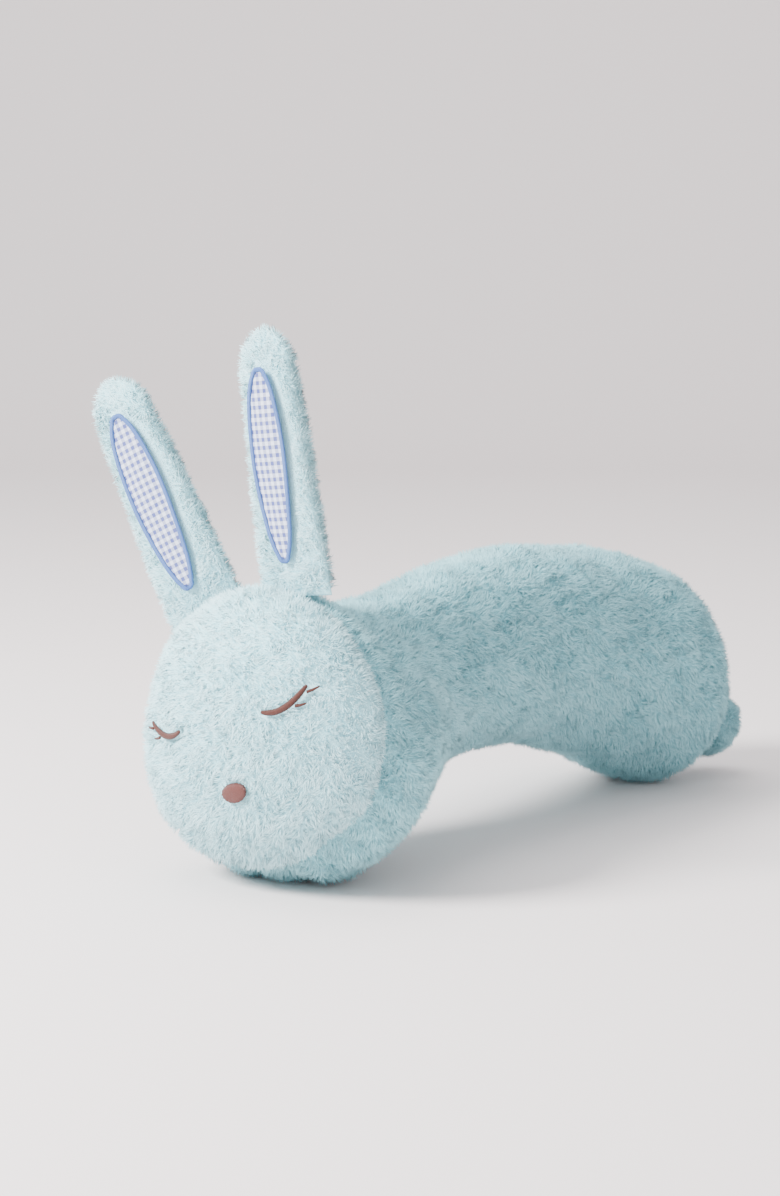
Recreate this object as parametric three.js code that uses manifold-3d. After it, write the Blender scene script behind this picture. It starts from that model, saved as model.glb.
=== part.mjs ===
// Arched bolster bunny: plush tube with a domed face, two sewn-in ears and a puff tail.
// Units mm, +Z up, rests on z = 0. The face looks toward -Y, the bunny's left side is +X.
import * as THREE from 'three';
import * as BufferGeometryUtils from 'three/addons/utils/BufferGeometryUtils.js';
import Module from 'manifold-3d';

const wasm = await Module();
wasm.setup();

// ---------------------------------------------------------------- driving dimensions
const BODY_LENGTH = 496;          // face seam to the end of the rump
const HEAD_WIDTH = 208;           // across the face seam
const HEAD_HEIGHT = 206;          // face seam, chin to crown
const FACE_DEPTH = 51;            // how far the face panel domes out of its seam
const EAR_LENGTH = 168;           // base seam to tip
const EAR_WIDTH = 61;
const EAR_THICK = 24;
const NECK_WIDTH = 132;           // the tube where it is thinnest, behind the head
const NECK_HEIGHT = 138;
const RUMP_WIDTH = 168;           // the tube where it is fullest
const RUMP_HEIGHT = 179;
const BACK_RISE = 133;            // centre of the tube at the middle of its arch

const LEAN = 16.5;                // how far the bunny has rolled toward its right side, degrees
const REST_SINK = 3.6;            // how far the soft underside is flattened by its own weight
const SEAM_HEIGHT = 122;          // centre of the face seam above the lowest plane
const SEAM_PITCH = 8.6;           // the face looks up by this much
const EGG = 0.24;                 // the crown is narrower than the cheeks by this share
const CROWN = 0.15;               // and flattened by this share, where the ears are caught in
const PINCH_DEPTH = 4.5;          // how far the face seam pulls the pile in
const PINCH_REACH = 7;

const COVER = 6;                  // pile and cloth together
const EAR_COVER = 4.5;
const TAIL_COVER = 4;
const GAP = 0.3;                  // clearance between neighbours
const THREAD = 1.0;               // sewing thread, doubled
const THREAD_ROOM = 3.2;          // space left inside the cover for seams
const STITCH_PITCH = 8;
const STITCH_SWAY = 1.6;

const EYE_SPAN = [36.5, 69];      // inner and outer ends of the closed-eye arc
const EYE_LOWEST = [45, -6.4];    // where the arc hangs lowest, from the middle of the face seam
const EYE_CURVE = 0.0235;
const SATIN = 2.8;                // width of the satin stitch
const LASH = 1.3;
const NOSE_SIZE = [20, 11.5];
const NOSE_LEVEL = -51.5;
const STITCH_DEPTH = [1.6, 3.8];  // embroidery lies in the pile, top and underside below the pile tips

const EAR_X = 41;                 // middle of the ear base
const EAR_SPLAY = 10;
const EAR_TOE = 6;
const EAR_FORWARD = 3.5;
const PATCH_WIDTH = 27;
const PATCH_SPAN = [14, 139];
const PATCH_DEPTH = [2.2, 3.4];
const BORDER_WIDTH = 2.8;
const BORDER_TOP = 0.8;

const TAIL_SIZE = [56, 46, 34];   // across, high, deep
const TAIL_LEVEL = -0.58;         // down the rump, as a share of its half height
const TAIL_SIDE = 20;             // sewn on this many degrees round the rump from its underside
const TAIL_SWING = 12;
const TAIL_ROOT = 6;              // radius where the tail is gathered and sewn on

const DEG = Math.PI / 180;

// ---------------------------------------------------------------- small helpers
function closedMesh(name, positions, indices) {
  let geometry = new THREE.BufferGeometry();
  geometry.setAttribute('position', new THREE.Float32BufferAttribute(positions, 3));
  geometry.setIndex(indices);
  geometry = BufferGeometryUtils.mergeVertices(geometry, 1e-4);
  return { name, geometry };
}

function toSolid(positions, indices) {
  const { geometry } = closedMesh('solid', positions, indices);
  const mesh = new wasm.Mesh({
    numProp: 3,
    vertProperties: new Float32Array(geometry.attributes.position.array),
    triVerts: new Uint32Array(geometry.index.array),
  });
  mesh.merge();
  return new wasm.Manifold(mesh);
}

function toGeometry(solid) {
  const mesh = solid.getMesh();
  const geometry = new THREE.BufferGeometry();
  geometry.setAttribute('position', new THREE.BufferAttribute(new Float32Array(mesh.vertProperties), 3));
  geometry.setIndex(new THREE.BufferAttribute(new Uint32Array(mesh.triVerts), 1));
  const merged = BufferGeometryUtils.mergeVertices(geometry, 1e-4);
  merged.computeVertexNormals();
  return merged;
}

function flipped(indices) {
  const out = [];
  for (let i = 0; i < indices.length; i += 3) out.push(indices[i], indices[i + 2], indices[i + 1]);
  return out;
}

// rings of points, each ring a closed loop of the same count; poles close both ends
function loftSolid(rings, startPole, endPole) {
  const count = rings[0].length;
  const positions = [];
  const indices = [];
  for (const ring of rings) {
    for (const p of ring) positions.push(...p);
  }
  const start = positions.length / 3;
  positions.push(...startPole);
  const end = start + 1;
  positions.push(...endPole);
  for (let i = 0; i < rings.length - 1; i += 1) {
    for (let j = 0; j < count; j += 1) {
      const k = (j + 1) % count;
      const a = i * count + j;
      const b = i * count + k;
      const c = a + count;
      const d = b + count;
      indices.push(a, b, d, a, d, c);
    }
  }
  const last = (rings.length - 1) * count;
  for (let j = 0; j < count; j += 1) {
    const k = (j + 1) % count;
    indices.push(start, k, j);
    indices.push(end, last + j, last + k);
  }
  const solid = toSolid(positions, indices);
  return solid.volume() < 0 ? toSolid(positions, flipped(indices)) : solid;
}

// the same solid after a turn, a shift or a mirroring
function moved(solid, matrix) {
  const mesh = solid.getMesh();
  const positions = [];
  const point = new THREE.Vector3();
  for (let i = 0; i < mesh.vertProperties.length; i += mesh.numProp) {
    point.fromArray(mesh.vertProperties, i).applyMatrix4(matrix);
    positions.push(point.x, point.y, point.z);
  }
  const indices = Array.from(mesh.triVerts);
  return matrix.determinant() < 0 ? toSolid(positions, flipped(indices)) : toSolid(positions, indices);
}

// block between two corners, optionally carried by a matrix
function boxSolid(min, max, matrix = new THREE.Matrix4()) {
  const geometry = new THREE.BoxGeometry(max[0] - min[0], max[1] - min[1], max[2] - min[2]);
  geometry.translate((min[0] + max[0]) / 2, (min[1] + max[1]) / 2, (min[2] + max[2]) / 2);
  geometry.applyMatrix4(matrix);
  return toSolid(Array.from(geometry.attributes.position.array), Array.from(geometry.index.array));
}

// flat outline of [x, z] pairs carried along Y from y0 to y1
function prismSolid(outline, y0, y1, matrix = new THREE.Matrix4()) {
  const shape = new THREE.Shape(outline.map(([x, z]) => new THREE.Vector2(x, z)));
  const geometry = new THREE.ExtrudeGeometry(shape, { depth: y1 - y0, bevelEnabled: false, steps: 1 });
  geometry.deleteAttribute('normal');
  geometry.deleteAttribute('uv');
  geometry.rotateX(Math.PI / 2);
  geometry.translate(0, y1, 0);
  geometry.applyMatrix4(matrix);
  const merged = BufferGeometryUtils.mergeVertices(geometry, 1e-4);
  return toSolid(Array.from(merged.attributes.position.array), Array.from(merged.index.array));
}

// outline grown outward by an even margin
function grown(outline, margin) {
  const n = outline.length;
  let area = 0;
  for (let i = 0; i < n; i += 1) {
    const a = outline[i];
    const b = outline[(i + 1) % n];
    area += a[0] * b[1] - b[0] * a[1];
  }
  const sign = Math.sign(area);
  return outline.map((p, i) => {
    const a = outline[(i - 1 + n) % n];
    const b = outline[(i + 1) % n];
    const before = [p[0] - a[0], p[1] - a[1]];
    const after = [b[0] - p[0], b[1] - p[1]];
    const lb = Math.hypot(...before);
    const la = Math.hypot(...after);
    const nx = before[1] / lb + after[1] / la;
    const nz = -before[0] / lb - after[0] / la;
    const length = Math.hypot(nx, nz);
    const reach = (sign * margin * 2) / Math.max(length, 1.1) / length;
    return [p[0] + nx * reach, p[1] + nz * reach];
  });
}

// cord of round section along a list of points; a closed list makes a loop
function cordSolid(points, radius, closed = false, sides = 5) {
  const n = points.length;
  const vectors = points.map((p) => new THREE.Vector3(...p));
  const rings = [];
  let side = null;
  for (let i = 0; i < n; i += 1) {
    const before = vectors[closed ? (i - 1 + n) % n : Math.max(i - 1, 0)];
    const after = vectors[closed ? (i + 1) % n : Math.min(i + 1, n - 1)];
    const tangent = after.clone().sub(before).normalize();
    if (!side) {
      side = new THREE.Vector3(0.31, 0.17, 0.93).cross(tangent).normalize();
    } else {
      side.addScaledVector(tangent, -side.dot(tangent)).normalize();
    }
    const other = tangent.clone().cross(side);
    const ring = [];
    for (let j = 0; j < sides; j += 1) {
      const angle = (2 * Math.PI * j) / sides;
      const p = vectors[i].clone();
      p.addScaledVector(side, radius * Math.cos(angle));
      p.addScaledVector(other, radius * Math.sin(angle));
      ring.push([p.x, p.y, p.z]);
    }
    rings.push(ring);
  }
  if (!closed) return loftSolid(rings, points[0], points[n - 1]);
  // find the quarter of a turn that lines the last ring up with the first
  const first = rings[0];
  let shift = 0;
  let best = Infinity;
  for (let s = 0; s < sides; s += 1) {
    let total = 0;
    for (let j = 0; j < sides; j += 1) {
      const p = rings[n - 1][j];
      const q = first[(j + s) % sides];
      total += (p[0] - q[0]) ** 2 + (p[1] - q[1]) ** 2 + (p[2] - q[2]) ** 2;
    }
    if (total < best) {
      best = total;
      shift = s;
    }
  }
  const positions = rings.flat().flat();
  const indices = [];
  for (let i = 0; i < n; i += 1) {
    const next = (i + 1) % n;
    const turn = next === 0 ? shift : 0;
    for (let j = 0; j < sides; j += 1) {
      const k = (j + 1) % sides;
      const a = i * sides + j;
      const b = i * sides + k;
      const c = next * sides + ((j + turn) % sides);
      const d = next * sides + ((k + turn) % sides);
      indices.push(a, b, d, a, d, c);
    }
  }
  const solid = toSolid(positions, indices);
  return solid.volume() < 0 ? toSolid(positions, flipped(indices)) : solid;
}

const sgnPow = (value, power) => Math.sign(value) * Math.abs(value) ** power;

// ---------------------------------------------------------------- the plush envelope
// Sections from the face seam back: share of the length, centre height, half width, half height.
const HALF_W = HEAD_WIDTH / 2;
const HALF_H = HEAD_HEIGHT / 2;
const blend = (a, b, share) => a + (b - a) * share;
const tubeSection = (share, rise, fullness) => [
  share,
  rise,
  blend(NECK_WIDTH, RUMP_WIDTH, fullness) / 2,
  blend(NECK_HEIGHT, RUMP_HEIGHT, fullness) / 2,
  0,
  0,
];
const NAPE_DROP = 18;             // the ring behind the face seam hangs this much lower
const headLowest = SEAM_HEIGHT - NAPE_DROP - (HALF_H - 0.5);
const RUMP_CENTRE = RUMP_HEIGHT / 2 + headLowest;   // head and rump reach the same level
const nape = blend(BACK_RISE, SEAM_HEIGHT, 1.1);
const haunch = blend(BACK_RISE, RUMP_CENTRE, 0.38);
const SECTIONS = [
  [0.00, SEAM_HEIGHT, HALF_W, HALF_H, 1.0, EGG],
  [0.06, SEAM_HEIGHT - NAPE_DROP, HALF_W - 1, HALF_H - 0.5, 1.0, EGG * 0.9],
  [0.16, SEAM_HEIGHT - 15, HALF_W - 19, HALF_H - 17, 0.6, EGG * 0.4],
  tubeSection(0.27, nape, 0),
  tubeSection(0.38, BACK_RISE - 2, 0.02),
  tubeSection(0.50, BACK_RISE, 0.18),
  tubeSection(0.62, BACK_RISE - 4, 0.40),
  tubeSection(0.73, haunch, 0.68),
  tubeSection(0.82, blend(haunch, RUMP_CENTRE, 0.53), 0.95),
  tubeSection(0.89, RUMP_CENTRE, 1),
];
const CAP_START = SECTIONS[SECTIONS.length - 1][0] * BODY_LENGTH;
const CAP_DROP = 2;               // the end of the rump sags below its last section's centre

function sectionAt(t) {
  const last = SECTIONS.length - 1;
  const u = Math.min(Math.max(t, 0), 1) * last;
  const i = Math.min(Math.floor(u), last - 1);
  const f = u - i;
  const at = (k) => SECTIONS[Math.min(Math.max(i + k, 0), last)];
  const out = [];
  for (let c = 0; c < 6; c += 1) {
    const [p0, p1, p2, p3] = [at(-1)[c], at(0)[c], at(1)[c], at(2)[c]];
    out.push(0.5 * (2 * p1 + (p2 - p0) * f + (2 * p0 - 5 * p1 + 4 * p2 - p3) * f ** 2
      + (3 * p1 - p0 - 3 * p2 + p3) * f ** 3));
  }
  return out;
}

const crownShare = (angle) => Math.max(0, Math.cos(angle)) ** 4;
const pinch = (distance) => PINCH_DEPTH * Math.exp(-((distance / PINCH_REACH) ** 2));

// point of the face dome, phi 0 at its middle and 90 degrees at the seam, moved in by the inset
function facePoint(phi, angle, inset) {
  const radius = Math.sin(phi);
  const near = pinch(HALF_W * 0.75 * (Math.PI / 2 - phi));
  const w = HALF_W - inset - near;
  const h = HALF_H - inset - near;
  const x = w * radius * Math.sin(angle) * (1 - EGG * Math.cos(angle) * radius);
  const z = h * (radius * Math.cos(angle) - CROWN * crownShare(angle) * radius ** 3);
  const y = -(FACE_DEPTH - inset) * Math.cos(phi);
  const c = Math.cos(SEAM_PITCH * DEG);
  const s = Math.sin(SEAM_PITCH * DEG);
  return [x, y * c + z * s, SEAM_HEIGHT - y * s + z * c];
}

// point of the tube behind the seam, t 0 at the seam and 1 where the rump's end begins
function tubePoint(t, angle, inset) {
  const [share, centre, halfW, halfH, pitchShare, egg] = sectionAt(t);
  const y = share * BODY_LENGTH;
  const near = pinch(y);
  const w = halfW - inset - near;
  const h = halfH - inset - near;
  const x = w * Math.sin(angle) * (1 - egg * Math.cos(angle));
  const z = h * (Math.cos(angle) - CROWN * (egg / EGG) * crownShare(angle));
  const tilt = SEAM_PITCH * pitchShare * DEG;
  return [x, y + z * Math.sin(tilt), centre + z * Math.cos(tilt)];
}

function rumpPoint(phi, angle, inset) {
  const [, centre, halfW, halfH] = SECTIONS[SECTIONS.length - 1];
  const flat = Math.sin(phi) ** 1.15;
  const shrink = Math.cos(phi) ** 0.92;
  const x = (halfW - inset) * shrink * Math.sin(angle);
  const z = (halfH - inset) * shrink * Math.cos(angle);
  return [x, CAP_START + (BODY_LENGTH - CAP_START - inset) * flat, centre - CAP_DROP * flat + z];
}

const ROUND = 32;
const FACE_ROWS = [12, 26, 40, 53, 65, 75, 83, 87.5, 90];
const TUBE_ROWS = [0.011, 0.026, 0.05, 0.09, 0.14, 0.2, 0.28, 0.37, 0.47, 0.58, 0.69, 0.8, 0.9, 1.0];
const RUMP_ROWS = [18, 34, 49, 62, 73, 82];

function ringOf(pointAt) {
  const ring = [];
  for (let j = 0; j < ROUND; j += 1) ring.push(pointAt((2 * Math.PI * j) / ROUND));
  return ring;
}

function envelope(inset) {
  const rings = [];
  for (const deg of FACE_ROWS) rings.push(ringOf((a) => facePoint(deg * DEG, a, inset)));
  for (const t of TUBE_ROWS) rings.push(ringOf((a) => tubePoint(t, a, inset)));
  for (const deg of RUMP_ROWS) rings.push(ringOf((a) => rumpPoint(deg * DEG, a, inset)));
  return loftSolid(rings, facePoint(0, 0, inset), rumpPoint(Math.PI / 2, 0, inset));
}

// ---------------------------------------------------------------- resting pose
// The bunny is rolled about its long axis and set down so the underside flattens.
const outer = envelope(0);
const leaning = new THREE.Matrix4().makeRotationY(-LEAN * DEG);
const floorLift = -(moved(outer, leaning).boundingBox().min[2] + REST_SINK);
const fromRest = new THREE.Matrix4().makeTranslation(0, 0, floorLift).multiply(leaning).invert();
const underFloor = (depth) => boxSolid([-900, -900, -300], [900, 1500, depth], fromRest);

// ---------------------------------------------------------------- covers and stuffing
const hollow = envelope(COVER).subtract(underFloor(COVER * 0.6));
const wall = outer.subtract(underFloor(0)).subtract(hollow);

const seamFrame = new THREE.Matrix4().makeTranslation(0, 0, SEAM_HEIGHT)
  .multiply(new THREE.Matrix4().makeRotationX(-SEAM_PITCH * DEG));
const seamSlab = (from, to) => boxSolid([-400, from, -400], [400, to, 400], seamFrame);
const half = GAP / 2;
const faceSide = seamSlab(-400, -half);
const tubeSide = seamSlab(half, 1400);
const faceWall = wall.intersect(faceSide);
const tubeWall = wall.intersect(tubeSide);
const leftHalf = boxSolid([half, -500, -500], [500, 1500, 900]);
const rightHalf = boxSolid([-500, -500, -500], [-half, 1500, 900]);

const stuffing = envelope(COVER + THREAD_ROOM).subtract(underFloor(COVER * 0.6 + THREAD_ROOM));

// sewing threads run in the room between the cover and the stuffing, swaying across the seam
const seamInset = COVER + THREAD_ROOM / 2;

function swaying(points, across, pitch) {
  const out = [];
  let flip = 1;
  for (let i = 0; i < points.length - 1; i += 1) {
    const a = new THREE.Vector3(...points[i]);
    const b = new THREE.Vector3(...points[i + 1]);
    const steps = Math.max(1, Math.round(a.distanceTo(b) / pitch));
    for (let k = 0; k < steps; k += 1) {
      const p = a.clone().lerp(b, (k + 0.5) / steps);
      out.push([p.x + flip * across[0], p.y + flip * across[1], p.z + flip * across[2]]);
      flip = -flip;
    }
  }
  return out;
}

function lengthwise(angle, inset, from, to) {
  const points = [];
  for (const t of TUBE_ROWS) {
    if (t >= from && t <= to) points.push(tubePoint(t, angle, inset));
  }
  return points;
}

const seamTurn = (x, y, z) => {
  const c = Math.cos(SEAM_PITCH * DEG);
  const s = Math.sin(SEAM_PITCH * DEG);
  return [x, y * c + z * s, z * c - y * s];
};

const rumpTop = RUMP_ROWS.slice(0, 4).map((d) => rumpPoint(d * DEG, 0, seamInset));
const backPath = swaying([...lengthwise(0, seamInset, 0.04, 1), ...rumpTop], [STITCH_SWAY, 0, 0], STITCH_PITCH);
const bellyRow = lengthwise(Math.PI, seamInset, 0.08, 0.95);
const bellyPath = swaying(bellyRow, [STITCH_SWAY, 0, 0], STITCH_PITCH);
const rimPoints = ringOf((a) => facePoint(Math.PI / 2, a, COVER + THREAD_ROOM * 0.4));
const facePath = swaying([...rimPoints, rimPoints[0]], seamTurn(0, STITCH_SWAY, 0), STITCH_PITCH);
if (facePath.length % 2) facePath.pop();

// the stuffing was put in through a gap in the belly seam, closed by hand in a shallow crease
const CLOSING = [0.6, 0.78];
const closingRow = [];
for (let i = 0; i <= 6; i += 1) {
  const t = CLOSING[0] + ((CLOSING[1] - CLOSING[0]) * i) / 6;
  closingRow.push(tubePoint(t, Math.PI, 0));
}
const closingLine = (lift) => closingRow.map(([x, y, z]) => [x, y, z + lift]);
const crease = cordSolid(closingLine(0.6), 3.2, false, 10);
const closingPath = swaying(closingLine(1.2), [1.0, 0, 0], 5);

// ---------------------------------------------------------------- face embroidery
const onFace = (outline) => prismSolid(outline, -300, -1, seamFrame);

// band of the given width along a centre line, narrower at its ends; the margin widens all of it
function strokeOutline(line, width, taper, margin) {
  const left = [];
  const right = [];
  const last = line.length - 1;
  for (let i = 0; i <= last; i += 1) {
    const a = line[Math.max(i - 1, 0)];
    const b = line[Math.min(i + 1, last)];
    const length = Math.hypot(b[0] - a[0], b[1] - a[1]);
    const dx = (b[0] - a[0]) / length;
    const dz = (b[1] - a[1]) / length;
    const end = Math.min(i, last - i) / last;
    const w = (width / 2) * (1 - taper * Math.max(0, 1 - end * 5) ** 2) + margin;
    const along = i === 0 ? -margin : (i === last ? margin : 0);
    const [x, z] = [line[i][0] + dx * along, line[i][1] + dz * along];
    left.push([x - dz * w, z + dx * w]);
    right.push([x + dz * w, z - dx * w]);
  }
  return [...right, ...left.reverse()];
}

const eyeLine = [];
for (let i = 0; i <= 12; i += 1) {
  const x = EYE_SPAN[0] + ((EYE_SPAN[1] - EYE_SPAN[0]) * i) / 12;
  eyeLine.push([x, EYE_LOWEST[1] + EYE_CURVE * (x - EYE_LOWEST[0]) ** 2]);
}
// the lashes start beside the outer end of the arc
const lashFrom = (share, off) => {
  const [x, z] = eyeLine[Math.round(share * 12)];
  return [x + off[0], z + off[1]];
};
const lashRoom = SATIN / 2 + LASH / 2 + GAP;
const upperStart = lashFrom(0.88, [lashRoom, -lashRoom * 0.6]);
const lowerStart = lashFrom(0.68, [lashRoom, -lashRoom]);
const lashUpper = [upperStart, [upperStart[0] + 4, upperStart[1] + 0.6], [upperStart[0] + 8, upperStart[1] + 2.4]];
const lashLower = [lowerStart, [lowerStart[0] + 3, lowerStart[1] - 0.7], [lowerStart[0] + 7.4, lowerStart[1] + 0.4]];

function noseOutline(margin) {
  const loop = [];
  for (let i = 0; i < 24; i += 1) {
    const a = (2 * Math.PI * i) / 24;
    const x = (NOSE_SIZE[0] / 2 + margin) * sgnPow(Math.cos(a), 0.9);
    const z = (NOSE_SIZE[1] / 2 + margin) * sgnPow(Math.sin(a), 0.9);
    loop.push([x, z + NOSE_LEVEL]);
  }
  return loop;
}
const mirrored = (outline) => outline.map(([x, z]) => [-x, z]).reverse();
const outlines = [
  ['eye_left', (m) => strokeOutline(eyeLine, SATIN, 0.45, m)],
  ['eye_left_lash_upper', (m) => strokeOutline(lashUpper, LASH, 0.3, m)],
  ['eye_left_lash_lower', (m) => strokeOutline(lashLower, LASH, 0.3, m)],
];
const embroidery = [...outlines, ['nose', noseOutline]];
for (const [name, outline] of outlines) {
  embroidery.push([name.replace('left', 'right'), (m) => mirrored(outline(m))]);
}
const stitchTop = envelope(STITCH_DEPTH[0]);
const stitchLayer = stitchTop.subtract(envelope(STITCH_DEPTH[1]));
const stitchFloor = envelope(STITCH_DEPTH[1] + GAP);

const resting = new THREE.Group();
resting.rotation.y = -LEAN * DEG;
resting.position.z = floorLift;

function addSolid(name, solid, color, roughness = 0.95, parent = resting) {
  const material = new THREE.MeshStandardMaterial({ color, roughness, metalness: 0 });
  const mesh = new THREE.Mesh(toGeometry(solid), material);
  mesh.name = name;
  parent.add(mesh);
}

const FUR = 0xbfdde1;
const FACE_FUR = 0xcfe6e8;
const FILL = 0xf2f1ec;
const STRING = 0xdfeef0;
const BROWN = 0x7a4a3c;
const CHECK = 0x9aa5da;
const BORDER = 0x6f97dc;

let faceCover = faceWall;
for (const [name, outline] of embroidery) {
  const pocket = onFace(outline(GAP)).subtract(stitchFloor);
  faceCover = faceCover.subtract(pocket);
  addSolid(name, stitchLayer.intersect(onFace(outline(0))), BROWN, 0.6);
}
addSolid('face_cover', faceCover, FACE_FUR);
addSolid('body_cover_left', tubeWall.intersect(leftHalf).subtract(crease), FUR);
addSolid('body_cover_right', tubeWall.intersect(rightHalf).subtract(crease), FUR);
addSolid('body_stuffing', stuffing, FILL);
addSolid('face_seam_thread', cordSolid(facePath, THREAD / 2, true), STRING);
addSolid('back_seam_thread', cordSolid(backPath, THREAD / 2), STRING);
addSolid('belly_seam_thread', cordSolid(bellyPath, THREAD / 2), STRING);
addSolid('belly_closing_thread', cordSolid(closingPath, THREAD / 2), STRING);

// ---------------------------------------------------------------- ears
const EAR_CAP = 0.87;             // where the rounded tip begins
const EAR_TIP_ROWS = [25, 45, 62, 76];
const EAR_BASE = 8;               // the hinge line sits this far above the face seam

const earWidthAt = (t) => 1.12 - 0.32 * t;
const earThickAt = (t) => 0.58 + 1.5 * t - 1.5 * t * t;

function earLoft(inset, edgeInset = inset) {
  const length = EAR_LENGTH - edgeInset;
  const rings = [];
  const ringAt = (t, shrink) => {
    const w = (EAR_WIDTH / 2) * earWidthAt(t) * shrink - edgeInset;
    const h = (EAR_THICK / 2) * earThickAt(t) * shrink ** 0.8 - inset;
    const ring = [];
    for (let j = 0; j < 24; j += 1) {
      const a = (2 * Math.PI * j) / 24;
      const x = Math.max(w, 0.4) * sgnPow(Math.cos(a), 0.9);
      ring.push([x, Math.max(h, 0.4) * sgnPow(Math.sin(a), 0.9), length * t]);
    }
    return ring;
  };
  for (const t of [-0.12, 0, 0.1, 0.22, 0.36, 0.5, 0.64, 0.76, EAR_CAP]) rings.push(ringAt(t, 1));
  for (const deg of EAR_TIP_ROWS) {
    const t = EAR_CAP + (1 - EAR_CAP) * Math.sin(deg * DEG);
    rings.push(ringAt(t, Math.cos(deg * DEG)));
  }
  return loftSolid(rings, [0, 0, -0.12 * length], [0, 0, length]);
}

const crownAngle = (() => {
  let low = 0;
  let high = Math.PI / 2;
  for (let i = 0; i < 40; i += 1) {
    const mid = (low + high) / 2;
    if (facePoint(Math.PI / 2, mid, 0)[0] < EAR_X) low = mid;
    else high = mid;
  }
  return low;
})();
const earSeat = facePoint(Math.PI / 2, crownAngle, 0);
const earUp = [Math.sin(EAR_SPLAY * DEG), 0, Math.cos(EAR_SPLAY * DEG)];
const earRoot = earSeat.map((v, i) => v + earUp[i] * EAR_BASE);

// how far the head lies below the hinge line at each station across the ear base
const headSamples = [];
for (let i = -20; i <= 60; i += 1) {
  const angle = i * 1.5 * DEG;
  for (let deg = 55; deg < 90; deg += 2.5) headSamples.push(facePoint(deg * DEG, angle, 0));
  for (let t = 0; t < 0.22; t += 0.01) headSamples.push(tubePoint(t, angle, 0));
}
const earTurn = (side) => new THREE.Matrix4().makeRotationY(side * EAR_SPLAY * DEG)
  .multiply(new THREE.Matrix4().makeRotationX(EAR_FORWARD * DEG))
  .multiply(new THREE.Matrix4().makeRotationZ(-side * EAR_TOE * DEG));
const turned = earTurn(1);
function headDistance(u) {
  const p = new THREE.Vector3(u, 0, 0).applyMatrix4(turned);
  let best = Infinity;
  for (const q of headSamples) {
    best = Math.min(best, Math.hypot(p.x + earRoot[0] - q[0], p.y + earRoot[1] - q[1], p.z + earRoot[2] - q[2]));
  }
  return best;
}
const baseStations = [];
for (let u = -40; u <= 40; u += 5) baseStations.push([u, Math.min(12, headDistance(u) - 2.5 * GAP)]);

function earSolid() {
  const rings = baseStations.map(([u, rho]) => {
    const ring = [];
    for (let j = 0; j < 20; j += 1) {
      const a = (2 * Math.PI * j) / 20;
      ring.push([u, rho * Math.cos(a), rho * Math.sin(a)]);
    }
    return ring;
  });
  const [first, last] = [baseStations[0][0], baseStations[baseStations.length - 1][0]];
  const round = loftSolid(rings, [first, 0, 0], [last, 0, 0]);
  return earLoft(0).intersect(round.add(aboveBase(0)));
}

const aboveBase = (lift) => boxSolid([-80, -60, lift], [80, 60, 300]);
const earOuter = earSolid();
const earHollow = earLoft(EAR_COVER).intersect(aboveBase(1));
const earWall = earOuter.subtract(earHollow);
const earFrontHalf = boxSolid([-90, -60, -60], [90, -half, 300]);
const earBackHalf = boxSolid([-90, half, -60], [90, 60, 300]);

const patchLoop = [];
const PATCH_STEPS = 12;
for (const side of [1, -1]) {
  for (let i = 0; i < PATCH_STEPS; i += 1) {
    const s = (1 - side * Math.cos((Math.PI * i) / PATCH_STEPS)) / 2;
    const width = (PATCH_WIDTH / 2) * (4 * s * (1 - s)) ** 0.55 * (0.86 + 0.2 * s);
    patchLoop.push([side * width, PATCH_SPAN[0] + (PATCH_SPAN[1] - PATCH_SPAN[0]) * s]);
  }
}
const onEar = (outline) => prismSolid(outline, -60, -1);
const patchFloor = earLoft(PATCH_DEPTH[1] + GAP);
const borderInner = onEar(grown(patchLoop, GAP));
const borderOuter = onEar(grown(patchLoop, BORDER_WIDTH + GAP));
const patchPocket = onEar(grown(patchLoop, BORDER_WIDTH + 2 * GAP)).subtract(patchFloor);
const patchBottom = earLoft(PATCH_DEPTH[1]);
const patchBody = earLoft(PATCH_DEPTH[0]).subtract(patchBottom).intersect(onEar(patchLoop));
const borderBody = earLoft(BORDER_TOP).subtract(patchBottom).intersect(borderOuter.subtract(borderInner));

const threadIn = EAR_COVER + 3.8;
const earSide = [0.05, 0.1, 0.22, 0.36, 0.5, 0.64, 0.76, EAR_CAP].map((t) => [t, 1]);
for (const deg of EAR_TIP_ROWS) {
  earSide.push([EAR_CAP + (1 - EAR_CAP) * Math.sin(deg * DEG), Math.cos(deg * DEG)]);
}
const earEdge = earSide.map(([t, shrink]) => {
  const w = (EAR_WIDTH / 2) * earWidthAt(t) * shrink - threadIn;
  return [Math.max(w, 0.4), 0, (EAR_LENGTH - threadIn) * t];
});
const earTip = [0, 0, EAR_LENGTH - threadIn];
const otherEdge = [...earEdge].reverse().map(([x, y, z]) => [-x, y, z]);
const earThreadPath = [...earEdge, earTip, ...otherEdge];
const earThread = cordSolid(earThreadPath, THREAD * 0.45);
const waddingEdge = threadIn + THREAD * 0.45 + 2 * GAP;
const earWadding = earLoft(EAR_COVER + GAP, waddingEdge).intersect(aboveBase(1 + GAP));

const earPieces = [
  ['front', earWall.intersect(earFrontHalf).subtract(patchPocket), FACE_FUR, 0.95],
  ['back', earWall.intersect(earBackHalf), FUR, 0.95],
  ['patch', patchBody, CHECK, 0.85],
  ['patch_border', borderBody, BORDER, 0.6],
  ['wadding', earWadding, FILL, 0.95],
  ['seam_thread', earThread, STRING, 0.95],
];
const across = new THREE.Matrix4().makeScale(-1, 1, 1);
for (const [side, label] of [[1, 'left'], [-1, 'right']]) {
  const ear = new THREE.Group();
  ear.quaternion.setFromRotationMatrix(earTurn(side));
  ear.position.set(side * earRoot[0], earRoot[1], earRoot[2]);
  resting.add(ear);
  for (const [name, solid, color, rough] of earPieces) {
    const piece = side > 0 ? solid : moved(solid, across);
    addSolid(`ear_${label}_${name}`, piece, color, rough, ear);
  }
}

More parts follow.
